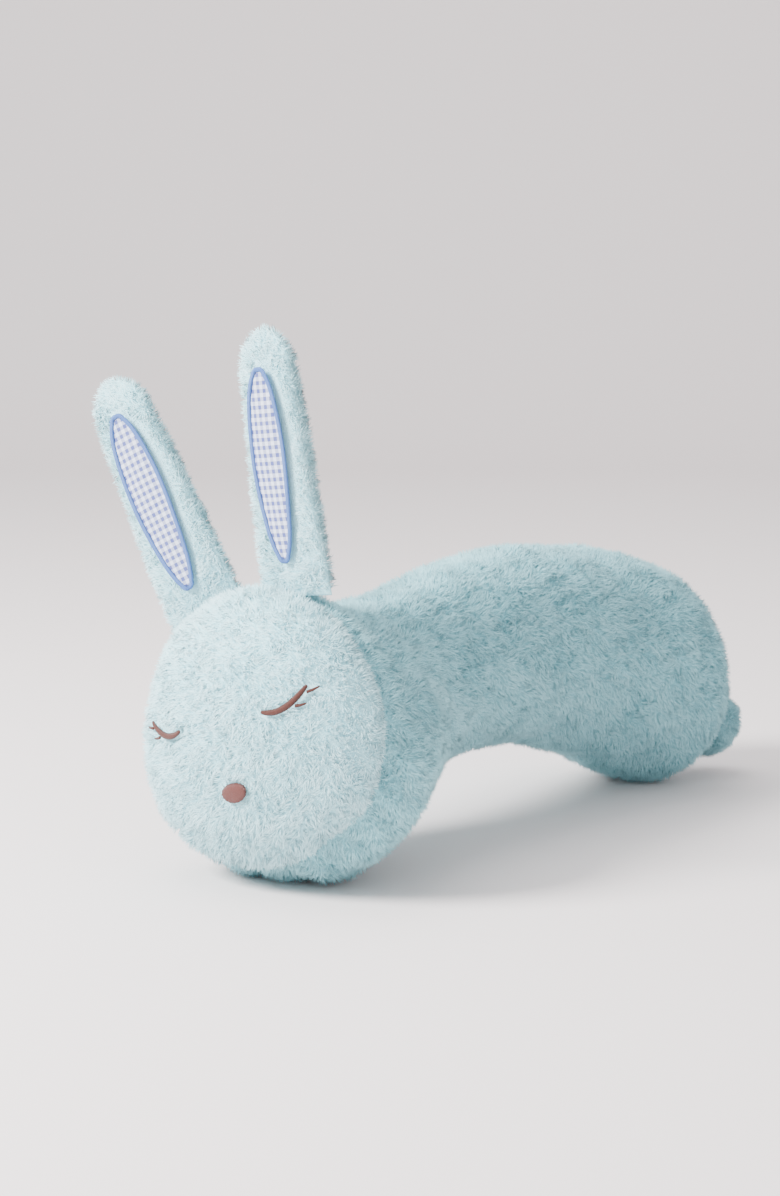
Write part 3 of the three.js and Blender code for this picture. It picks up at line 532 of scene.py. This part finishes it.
def cloth_pass(piece, cap):
    """Settles a stuffed ground as cloth under pressure, keeps each point within cap metres of its cut place,
    and applies the result to the mesh."""
    if not settings().simulate:
        return
    mesh = piece.data
    cut = coords(mesh)
    sim = piece.modifiers.new("cloth", "CLOTH")
    cloth = sim.settings
    cloth.quality = 5
    cloth.mass = 0.25
    cloth.tension_stiffness = 18
    cloth.compression_stiffness = 18
    cloth.shear_stiffness = 8
    cloth.bending_stiffness = 0.6
    cloth.use_pressure = True
    cloth.uniform_pressure_force = 4.0
    cloth.effector_weights.gravity = 0.0
    sim.collision_settings.use_collision = False
    sim.collision_settings.use_self_collision = False
    sim.point_cache.frame_start, sim.point_cache.frame_end = 1, 20
    scene = bpy.context.scene
    for f in range(1, 21):
        scene.frame_set(f)
    graph = bpy.context.evaluated_depsgraph_get()
    moved = coords(piece.evaluated_get(graph).data)
    piece.modifiers.remove(sim)
    scene.frame_set(1)
    step = moved - cut
    far = np.linalg.norm(step, axis=1, keepdims=True)
    step *= np.minimum(1.0, cap / np.maximum(far, 1e-9))
    mesh.vertices.foreach_set("co", (cut + step).astype(np.float32).ravel())
    mesh.update()


class RABBIT_OT_body(bpy.types.Operator):
    """Body: stuffed plush from the face seam to the rump, with its pile"""
    bl_idname = "rabbit.body"
    bl_label = "Body"

    def execute(self, context):
        s = settings()
        inset = s.ground_inset * 1000
        ground = new_piece("body_plush", *closed_grid(rest(body_ground(inset))),
                           [backing("body_ground", s.plush, s.plush_shaded_roots)])
        cloth_pass(ground, BODY_CAP)
        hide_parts("body_cover_left", "body_cover_right", "body_stuffing", "back_seam_thread",
                    "belly_seam_thread", "belly_closing_thread", "face_seam_thread")
        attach(ground, "body")
        made = pile("body_pile", ground, pile_slots("plush", s.plush, s.plush_shaded_roots), s.body_strands,
                    lambda p: s.pile_length * seam_crop(p), s.strand_width, 101, parts=6, ban=inside_head_seam)
        for piece in made:
            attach(piece, "body")
        return {"FINISHED"}


def inside_head_seam(p):
    """Whether points in metres lie on the flat discs shut in behind the face seam."""
    off, flat = seam_offset(p)
    return (np.abs(off) < 0.0030) & (flat < 0.080)


def seam_offset(p):
    """Distance of points in metres behind the face seam's plane, and from its middle line."""
    q = rest(np.array([[0.0, 0.0, SEAM_HEIGHT]]))[0]
    c, s = math.cos(SEAM_PITCH), -math.sin(SEAM_PITCH)
    axis = np.array([-s * math.sin(LEAN), c, s * math.cos(LEAN)])
    d = p - q
    off = d @ axis
    return off, np.linalg.norm(d - off[:, None] * axis, axis=1)


def seam_crop(p):
    """Pile caught short in the face seam: its share of full length, from 0.3 at the seam to 1 a centimetre off."""
    off, _ = seam_offset(p)
    return np.clip(0.3 + np.abs(off) / 0.011, 0.3, 1)


class RABBIT_OT_face(bpy.types.Operator):
    """Face: stuffed pale plush dome, with its pile"""
    bl_idname = "rabbit.face"
    bl_label = "Face"

    def execute(self, context):
        s = settings()
        inset = s.ground_inset * 1000
        ground = new_piece("face_plush", *closed_grid(rest(face_ground(inset))),
                           [backing("face_ground", s.pale, s.pale_shaded_roots)])
        cloth_pass(ground, FACE_CAP)
        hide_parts("face_cover")
        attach(ground, "body")

        def length(p):
            """Pile cropped close where the eyes and nose are sewn."""
            close = np.ones(len(p))
            for line, reach in embroidery_guides():
                d = np.min(np.linalg.norm(p[:, None] - line[None], axis=-1), axis=1)
                close = np.minimum(close, np.clip((d - 0.2 * reach) / reach, 0.22, 1))
            return s.pile_length * 0.92 * close * seam_crop(p)

        made = pile("face_pile", ground, pile_slots("pale_plush", s.pale, s.pale_shaded_roots), s.face_strands, length,
                    s.strand_width, 211, parts=1, ban=inside_head_seam, curl=0.5)
        for piece in made:
            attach(piece, "body")
        return {"FINISHED"}


# ---------------------------------------------------------------- embroidery

def on_face(x, z, inset):
    """Point of the face over (x, z) across its seam plane, with inset under the frame's surface."""
    x, z = np.asarray(x, float), np.asarray(z, float)
    phi = np.full(x.shape, 0.8)
    a = np.arctan2(x, z)
    c, s = math.cos(SEAM_PITCH), math.sin(SEAM_PITCH)

    def flat(phi, a):
        p = face_point(phi, a, inset)
        y, zz = p[..., 1], p[..., 2] - SEAM_HEIGHT
        return p[..., 0], y * s + zz * c

    for _ in range(40):
        u, v = flat(phi, a)
        e = 1e-4
        u1, v1 = flat(phi + e, a)
        u2, v2 = flat(phi, a + e)
        j = np.stack([np.stack([(u1 - u) / e, (u2 - u) / e], -1), np.stack([(v1 - v) / e, (v2 - v) / e], -1)], -2)
        r = np.stack([x - u, z - v], -1)
        det = j[..., 0, 0] * j[..., 1, 1] - j[..., 0, 1] * j[..., 1, 0]
        det = np.where(np.abs(det) < 1e-6, 1e-6, det)
        dphi = (j[..., 1, 1] * r[..., 0] - j[..., 0, 1] * r[..., 1]) / det
        da = (-j[..., 1, 0] * r[..., 0] + j[..., 0, 0] * r[..., 1]) / det
        phi = np.clip(phi + np.clip(dphi, -0.2, 0.2), 0.02, 1.5)
        a = a + np.clip(da, -0.3, 0.3)
    return face_point(phi, a, inset)


def eye_line(side, n):
    """A closed eye across and up the face: a shallow bowl, z = -6.4 + 0.0235 (x - 45)^2, for n points."""
    x = np.linspace(36.5, 69.0, n)
    return side * x, -6.4 + 0.0235 * (x - 45.0) ** 2


LASHES = (((68.6, 2.8), (72.6, 3.4), (76.6, 5.2)), ((60.5, -4.7), (63.5, -5.4), (67.9, -4.3)))


def embroidery_guides():
    """Lines in metres that the pile is cropped round, each with its reach."""
    found = []
    for side in (-1, 1):
        found.append((rest(on_face(*eye_line(side, 16), 3.0)), 0.0055))
        for lash in LASHES:
            x, z = np.array(lash).T
            found.append((rest(on_face(side * x, z, 3.0)), 0.0035))
    angle = np.linspace(0, 2 * np.pi, 16, endpoint=False)
    found.append((rest(on_face(5.5 * np.cos(angle), NOSE_LEVEL + 2.5 * np.sin(angle), 3.0)), 0.0090))
    return found


def cord_mesh(path, radii, flatness, sides=14):
    """Rings of a tube along path with a radius at each point, flattened toward the face, and the run of length
    along it in metres for every vertex."""
    path = np.asarray(path, float)
    step = np.gradient(path, axis=0)
    step /= np.linalg.norm(step, axis=1, keepdims=True)
    centre = rest(np.array([[0.0, 30.0, 110.0]]))[0]
    out = path - centre
    out -= step * np.einsum("ij,ij->i", out, step)[:, None]
    out /= np.linalg.norm(out, axis=1, keepdims=True)
    across = np.cross(step, out)
    a = np.linspace(0, 2 * np.pi, sides, endpoint=False)
    ring = (path[:, None] + radii[:, None, None] * (np.cos(a)[None, :, None] * across[:, None]
            + flatness * np.sin(a)[None, :, None] * out[:, None]))
    run = np.concatenate([[0], np.cumsum(np.linalg.norm(np.diff(path, axis=0), axis=1))])
    return ring, np.repeat(run, sides)


def give_run(piece, values):
    """Stores the run along a stitched piece, one value to a vertex."""
    layer = piece.data.attributes.new("run", "FLOAT", "POINT")
    data = np.zeros(len(piece.data.vertices), np.float32)
    data[:len(values)] = values
    layer.data.foreach_set("value", data)


class RABBIT_OT_eyes(bpy.types.Operator):
    """Eyes: two closed eyes in satin stitch, each with two lashes"""
    bl_idname = "rabbit.eyes"
    bl_label = "Eyes and lashes"

    def execute(self, context):
        s = settings()
        for side, word in ((1, "left"), (-1, "right")):
            x, z = eye_line(side, 70)
            path = rest(on_face(x, z, 0.6))
            t = np.linspace(0, 1, 70)
            r = 0.0021 * (0.45 + 0.62 * np.sqrt(np.clip(4 * t * (1 - t), 0, 1)))
            ring, run = cord_mesh(path, r, 0.72)
            # s.dark is painted shade in the grooves between the satin threads
            piece = new_piece(f"eye_{word}_satin", *closed_grid(ring),
                              [satin(f"eye_thread_{word}", s.brown, s.dark, "run", 0.00055)])
            give_run(piece, run)
            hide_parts(f"eye_{word}")
            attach(piece, "body")
            for (points, place) in zip(LASHES, ("upper", "lower")):
                x, z = np.array(points).T
                k = np.linspace(0, 1, 26)
                curve = np.stack([(1 - k) ** 2 * c[0] + 2 * k * (1 - k) * c[1] + k ** 2 * c[2] for c in (x, z)])
                path = rest(on_face(side * curve[0], curve[1], 0.7))
                r = 0.0011 * (1.0 - 0.55 * k ** 2)
                ring, run = cord_mesh(path, r, 0.8, 10)
                piece = new_piece(f"eye_{word}_lash_{place}_satin", *closed_grid(ring),
                                  [satin(f"lash_thread_{word}_{place}", s.brown, s.dark, "run", 0.0005)])
                give_run(piece, run)
                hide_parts(f"eye_{word}_lash_{place}")
                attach(piece, "body")
        return {"FINISHED"}


class RABBIT_OT_nose(bpy.types.Operator):
    """Nose: a padded oval of satin stitch"""
    bl_idname = "rabbit.nose"
    bl_label = "Nose"

    def execute(self, context):
        s = settings()
        a = np.linspace(0, 2 * np.pi, 72, endpoint=False)
        r = np.linspace(0.02, 1, 16)[:, None]
        top = np.sqrt(np.maximum(1 - r ** 2.6, 0))
        ragged = 1 + 0.02 * np.sin(a * 17) + 0.015 * np.sin(a * 29 + 1)
        x = 10.4 * r * np.cos(a) * ragged
        z = NOSE_LEVEL + 6.1 * r * np.sin(a) * ragged * (1 - 0.10 * np.sin(a))
        skin = on_face(x, z, 1.6)
        centre = np.array([0.0, 30.0, SEAM_HEIGHT])
        out = skin - centre
        out /= np.linalg.norm(out, axis=-1, keepdims=True)
        front = skin + out * (1.9 * top + 0.2 + 0 * a)[..., None]
        back = (skin - out * 1.2)[::-1]
        grid = rest(np.concatenate([front, back]))
        # the nose thread's second, darker colour is painted shade in the grooves between its threads
        piece = new_piece("nose_satin", *closed_grid(grid),
                          [satin("nose_thread", (0.165, 0.052, 0.040), (0.065, 0.018, 0.018), "run", 0.00062)])
        give_run(piece, np.concatenate([x, x[::-1]]).ravel() * 0.001 + 0.1)
        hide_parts("nose")
        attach(piece, "body")
        return {"FINISHED"}


# ---------------------------------------------------------------- ears

def panel_half(t):
    """Half width of an ear's panel at share t of its length, in millimetres."""
    t = np.clip(t, 0, 1)
    return 13.5 * (4 * t * (1 - t)) ** 0.55 * (0.86 + 0.2 * t)


def ear_front(x, z, inset):
    """Front surface of an ear's own body over (x, z), inset under it."""
    t = np.clip(z / (EAR_LENGTH - inset), 0, 1)
    over = np.clip((t - 0.87) / 0.13, 0, 1)
    shrink = np.sqrt(np.maximum(1 - over ** 2, 0))
    w = EAR_W * (1.12 - 0.32 * t) * shrink - inset
    h = EAR_T * (0.58 + 1.5 * t - 1.5 * t ** 2) * shrink ** 0.8 - inset
    share = np.clip(np.abs(x) / np.maximum(w, 1e-3), 0, 1)
    sine = np.sqrt(np.maximum(1 - share ** (2 / 0.9), 0))
    return np.stack([x, -h * sine ** 0.9, z], -1)


def ear_dish(p):
    """Hand-made unevenness of a stuffed ear, in millimetres along its front: two long soft ridges."""
    x, z = p[..., 0], np.maximum(p[..., 2], 0)
    ridge = 1.2 * np.sin(z / 21.0 + x / 9.0) + 0.8 * np.sin(z / 9.5 - x / 6.0 + 1.0)
    return ridge * np.clip(z / 40.0, 0, 1) * np.clip((EAR_LENGTH - z) / 30.0, 0, 1)


class RABBIT_OT_ears(bpy.types.Operator):
    """Ears: stuffed pale plush, a gingham panel and its satin border on each"""
    bl_idname = "rabbit.ears"
    bl_label = "Ears"

    def execute(self, context):
        s = settings()
        inset = 3.4
        slots = pile_slots("ear_plush", s.pale, s.pale_shaded_roots)
        ground_look = backing("ear_ground", s.pale, s.pale_shaded_roots)
        cloth_look = gingham("ear_gingham", s.blue, s.white, GINGHAM_REPEAT)
        # the border colour at 0.45 is painted shade in the grooves between the border's satin threads
        border_look = satin("ear_border_thread", s.border, tuple(c * 0.45 for c in s.border), "run", 0.0008)
        for side, word in ((1, "left"), (-1, "right")):
            body = f"ear_{word}"
            ear = (f"{body}_front", f"{body}_back", f"{body}_wadding", f"{body}_seam_thread")
            a = np.linspace(0, 2 * np.pi, 96, endpoint=False)[None]
            t = np.concatenate([np.linspace(-0.07, 0.87, 78, endpoint=False),
                                0.87 + 0.13 * np.sin(np.linspace(0, 1, 16)[:-1] * np.pi / 2)])[:, None]
            own = ear_point(t + 0 * a, a + 0 * t, inset)
            seam = np.exp(-((np.abs(np.cos(a)) - 1) / 0.05) ** 2) * 0.8
            own = own + np.stack([-np.sign(np.cos(a)) * seam + 0 * t, 0.35 * ear_dish(own), 0 * (a + t)], -1)
            ground = new_piece(f"{body}_plush", *closed_grid(rest(stand_ear(own, side))), [ground_look])
            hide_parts(*ear)


            def covered(p, side=side):
                """Roots under the panel, or deep in the head."""
                q = to_ear(p, side)
                t = (q[:, 2] - PANEL_START) / PANEL_LENGTH
                under = (q[:, 1] < 0) & (t > 0) & (t < 1) & (np.abs(q[:, 0]) < panel_half(t) + 1.2)
                return under | (q[:, 2] < -8.0)

            def length(p, side=side):
                """Pile shorter beside the panel's border."""
                q = to_ear(p, side)
                t = (q[:, 2] - PANEL_START) / PANEL_LENGTH
                gap = np.abs(q[:, 0]) - panel_half(t) - BORDER
                edge = np.where((q[:, 1] < 0) & (t > -0.06) & (t < 1.06), np.clip(gap / 6.0, 0.35, 1), 1.0)
                return s.pile_length * 0.74 * edge

            made = pile(f"{body}_pile", ground, slots, s.ear_strands, length, s.strand_width * 0.92,
                        307 + side, ban=covered, curl=0.62, comb=(0.0, 0.0, 0.25))

            v = np.linspace(0.004, 0.996, 130)[:, None]
            u = np.linspace(-1, 1, 33)[None]
            half = panel_half(v) + 0.6
            x, z = u * half, PANEL_START + PANEL_LENGTH * v + 0 * u
            skin = ear_front(x, z, -0.4)
            pucker = 0.25 * np.sin(z / 2.3 + 4 * x / half) * np.abs(u) ** 3 + 0.35 * ear_dish(skin) * 0.6
            skin[..., 1] += pucker - 0.35 * (1 - np.abs(u) ** 4)
            patch = sheet_piece(f"{body}_gingham", skin, x, z, side, cloth_look)
            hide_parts(f"{body}_patch")
            wide = 2 * half[:, 0]
            flat_area = float(((wide[1:] + wide[:-1]) / 2 * np.diff(v[:, 0])).sum()) * PANEL_LENGTH * 1e-6

            k = np.linspace(0, 2 * np.pi, 260, endpoint=False)
            tt = 0.5 - 0.5 * np.cos(k)
            way = np.sign(np.sin(k) + 1e-9)
            edge_x = way * (panel_half(tt) + 1.35)
            edge_z = PANEL_START + PANEL_LENGTH * tt + np.where(tt < 0.02, -1.0, 0) + np.where(tt > 0.98, 1.0, 0)
            line = ear_front(edge_x, edge_z, -0.9)
            line[:, 1] += 0.35 * ear_dish(line) * 0.6
            border = loop_cord(f"{body}_satin_border", line, 1.65, 0.62, side, border_look)
            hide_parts(f"{body}_patch_border")

            root = rest(stand_ear(np.array([[0, 0, -4.0], [0, 0, 8.0]]), side))
            for piece in (ground, *made, patch, border):
                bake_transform(piece)
        return {"FINISHED"}


def to_ear(p, side):
    """Points in metres in the frame back to an ear's own millimetres."""
    q = p * 1000.0 - np.array(SHIFT)
    c, s = math.cos(LEAN), math.sin(LEAN)
    x, z = q[:, 0] * c + q[:, 2] * s, -q[:, 0] * s + q[:, 2] * c
    x, y, z = x - side * EAR_ROOT[0], q[:, 1] - EAR_ROOT[1], z - EAR_ROOT[2]
    c, s = math.cos(-side * EAR_SPLAY), math.sin(-side * EAR_SPLAY)
    x, z = x * c + z * s, -x * s + z * c
    c, s = math.cos(-EAR_FORWARD), math.sin(-EAR_FORWARD)
    y, z = y * c - z * s, y * s + z * c
    c, s = math.cos(side * EAR_TOE), math.sin(side * EAR_TOE)
    return np.stack([x * c - y * s, x * s + y * c, z], -1)


def sheet_piece(name, skin, x, z, side, look):
    """A thin closed sheet over skin, half a millimetre thick, with its flat pattern as a UV map in metres."""
    rows, cols = skin.shape[:2]
    under = skin.copy()
    under[..., 1] += 0.5
    pts = rest(stand_ear(np.concatenate([skin.reshape(-1, 3), under.reshape(-1, 3)]), side))
    n = rows * cols
    i, j = np.meshgrid(np.arange(rows - 1), np.arange(cols - 1), indexing="ij")
    o = (i * cols + j).ravel()
    top = np.stack([o, o + 1, o + cols + 1, o + cols], -1)
    bottom = top[:, ::-1] + n
    edge = np.concatenate([np.arange(cols), np.arange(2, rows + 1) * cols - 1,
                           n - 2 - np.arange(cols - 1), np.arange(rows - 2, 0, -1) * cols])
    nxt = np.roll(edge, -1)
    rim = np.stack([edge, edge + n, nxt + n, nxt], -1)
    faces = np.concatenate([top, bottom, rim]).tolist()
    piece = new_piece(name, pts, faces, [look])
    uv = piece.data.uv_layers.new(name="cloth")
    flat = np.stack([x + 0 * z, z + 0 * x], -1).reshape(-1, 2) * 0.001
    flat = np.concatenate([flat, flat])
    index = np.empty(len(piece.data.loops), np.int32)
    piece.data.loops.foreach_get("vertex_index", index)
    uv.data.foreach_set("uv", flat[index].astype(np.float32).ravel())
    return piece


def loop_cord(name, line, width, flatness, side, look):
    """Closed satin cord along a loop on the ear's front, width half across, with its run in metres."""
    n, sides = len(line), 10
    step = np.roll(line, -1, 0) - np.roll(line, 1, 0)
    step /= np.linalg.norm(step, axis=1, keepdims=True)
    out = np.tile([0.0, -1.0, 0.0], (n, 1))
    out -= step * np.einsum("ij,ij->i", out, step)[:, None]
    out /= np.linalg.norm(out, axis=1, keepdims=True)
    across = np.cross(step, out)
    a = np.linspace(0, 2 * np.pi, sides, endpoint=False)
    ring = line[:, None] + width * (np.cos(a)[None, :, None] * across[:, None]
                                    + flatness * np.sin(a)[None, :, None] * out[:, None])
    pts = rest(stand_ear(ring.reshape(-1, 3), side))
    i, j = np.meshgrid(np.arange(n), np.arange(sides), indexing="ij")
    i2, j2 = (i + 1) % n, (j + 1) % sides
    faces = np.stack([i * sides + j, i * sides + j2, i2 * sides + j2, i2 * sides + j], -1).reshape(-1, 4).tolist()
    piece = new_piece(name, pts, faces, [look])
    run = np.concatenate([[0], np.cumsum(np.linalg.norm(np.diff(line, axis=0), axis=1))]) * 0.001
    give_run(piece, np.repeat(run, sides))
    return piece


# ---------------------------------------------------------------- tail

def tail_frame():
    """Root and outward direction of the tail on the rump, in the toy's own frame."""
    phi = math.acos(abs(TAIL_LEVEL) ** (1 / 0.92))
    root = rump_point(np.array(phi), np.array(np.pi), 0.0)
    e = 1e-3
    ahead = rump_point(np.array(phi + e), np.array(np.pi), 0.0) - root
    ahead /= np.linalg.norm(ahead)
    out = np.array([0.0, -ahead[2], ahead[1]])
    if out[1] < 0:
        out = -out
    return root, out


class RABBIT_OT_tail(bpy.types.Operator):
    """Tail: a small stuffed puff gathered at its root"""
    bl_idname = "rabbit.tail"
    bl_label = "Tail"

    def execute(self, context):
        s = settings()
        root, out = tail_frame()
        across = np.array([1.0, 0.0, 0.0])
        up = np.cross(out, across)
        phi = np.linspace(0.03, np.pi - 0.03, 44)[:, None]
        a = np.linspace(0, 2 * np.pi, 84, endpoint=False)[None]
        inset = 3.2
        # a ball drawn in at its root, with gathers fading outward
        reach = np.sin(phi) ** 0.9
        gather = 1 + 0.07 * np.exp(-((np.pi - phi) / 0.9) ** 2) * np.sin(9 * a)
        x = (TAIL_W - inset) * reach * np.cos(a) * gather
        z = (TAIL_H - inset) * reach * np.sin(a) * gather
        d = TAIL_D * 0.5 * (1 + np.cos(phi)) * 0.98 + 0 * a
        d = np.minimum(d, TAIL_D - inset)
        crease = 2.6 * np.exp(-((z - 3.0) / 4.0) ** 2) * (d / TAIL_D) ** 1.5
        p = root + x[..., None] * across + z[..., None] * up + (d - crease + 0.5)[..., None] * out
        c, si = math.cos(TAIL_SIDE), math.sin(TAIL_SIDE)
        level = p[..., 2] - RUMP_CENTRE
        p = np.stack([p[..., 0] * c - level * si, p[..., 1], RUMP_CENTRE + p[..., 0] * si + level * c], -1)
        ground = new_piece("tail_plush", *closed_grid(rest(p)), [backing("tail_ground", s.plush, s.plush_shaded_roots)])
        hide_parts("tail_cover", "tail_stuffing", "tail_gather_thread")
        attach(ground, "tail")
        made = pile("tail_pile", ground, pile_slots("tail_plush", tuple(0.86 * c for c in s.plush),
                                                    tuple(0.8 * c for c in s.plush_shaded_roots)),
                    s.tail_strands, s.pile_length * 0.8, s.strand_width, 409)
        for piece in made:
            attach(piece, "tail")
        return {"FINISHED"}


# ---------------------------------------------------------------- stage

class RABBIT_OT_stage(bpy.types.Operator):
    """Stage: pale seamless floor, soft lights and the camera"""
    bl_idname = "rabbit.stage"
    bl_label = "Stage"

    def execute(self, context):
        s = settings()
        az, el = math.radians(37.0), math.radians(8.3)
        back = Vector((math.sin(az) * math.cos(el), -math.cos(az) * math.cos(el), math.sin(el)))
        right = Vector((math.cos(az), math.sin(az), 0.0))
        up = back.cross(right)
        # floor running back from under the toy and up behind it
        run = np.array([[3.2, 0.0], [-2.6, 0.0]])
        bend = [(-2.6 - 1.2 * math.sin(q), 1.2 - 1.2 * math.cos(q)) for q in np.linspace(0.05, np.pi / 2, 18)]
        line = np.array([*run.tolist(), *bend, (-3.8, 5.0)])
        wide = np.linspace(-5, 5, 2)
        flat = Vector((math.sin(az), -math.cos(az), 0.0))
        verts = [tuple(flat * float(q) + right * float(w) + Vector((0, 0, float(h) - 0.0002)))
                 for q, h in line for w in wide]
        faces = [(2 * k, 2 * k + 1, 2 * k + 3, 2 * k + 2) for k in range(len(line) - 1)]
        mesh = bpy.data.meshes.new("studio_floor")
        mesh.from_pydata(verts, [], faces)
        mesh.materials.append(plain("studio_paper", s.floor, 0.9))
        mesh.polygons.foreach_set("use_smooth", np.ones(len(faces), bool))
        mesh.update()
        floor = bpy.data.objects.new("studio_floor", mesh)
        context.scene.collection.objects.link(floor)

        world = bpy.data.worlds.new("studio")
        world.use_nodes = True
        world.node_tree.nodes["Background"].inputs["Color"].default_value = (0.86, 0.86, 0.88, 1)
        world.node_tree.nodes["Background"].inputs["Strength"].default_value = 1.35
        context.scene.world = world
        aim = Vector((0.0473, -0.2335, 0.1181))
        for name, offset, size, power_w, tint in (
                ("key", back * 0.7 - right * 1.7 + Vector((0, 0, 1.35)), 1.0, 190.0, (1.0, 0.985, 0.97)),
                ("top", -back * 0.6 - right * 0.3 + Vector((0, 0, 2.1)), 1.8, 26.0, (1.0, 1.0, 1.0))):
            light = bpy.data.lights.new(name, "AREA")
            light.shape, light.size, light.energy, light.color = "DISK", size, power_w, tint
            lamp = bpy.data.objects.new(name, light)
            lamp.location = aim + offset
            lamp.rotation_euler = (-offset).to_track_quat("-Z", "Y").to_euler()
            context.scene.collection.objects.link(lamp)

        cam = bpy.data.cameras.new("camera")
        cam.lens, cam.sensor_width, cam.sensor_fit = 86.65, 36.0, "AUTO"
        camera = bpy.data.objects.new("camera", cam)
        camera.location = aim + back * 1.9 + right * 0.0594 + up * 0.0779
        camera.rotation_euler = (-back).to_track_quat("-Z", "Y").to_euler()
        context.scene.collection.objects.link(camera)
        context.scene.camera = camera
        return {"FINISHED"}


OPERATORS = (RABBIT_OT_body, RABBIT_OT_face, RABBIT_OT_eyes, RABBIT_OT_nose, RABBIT_OT_ears, RABBIT_OT_tail,
             RABBIT_OT_stage)


class RABBIT_PT_panel(bpy.types.Panel):
    """Lists the pieces and their settings"""
    bl_idname = "RABBIT_PT_panel"
    bl_label = "Stuffed bunny rabbit"
    bl_space_type = "VIEW_3D"
    bl_region_type = "UI"
    bl_category = "Rabbit"

    def draw(self, context):
        column = self.layout.column()
        for key in RabbitSettings.__annotations__:
            column.prop(context.scene.rabbit, key)
        for operator in OPERATORS:
            column.operator(operator.bl_idname)


def register():
    for item in (RabbitSettings, *OPERATORS, RABBIT_PT_panel):
        bpy.utils.register_class(item)
    bpy.types.Scene.rabbit = PointerProperty(type=RabbitSettings)


def unregister():
    del bpy.types.Scene.rabbit
    for item in (RABBIT_PT_panel, *reversed(OPERATORS), RabbitSettings):
        bpy.utils.unregister_class(item)


def main():
    register()
    for operator in OPERATORS:
        group, name = operator.bl_idname.split(".")
        getattr(getattr(bpy.ops, group), name)()


if __name__ == "__main__":
    main()
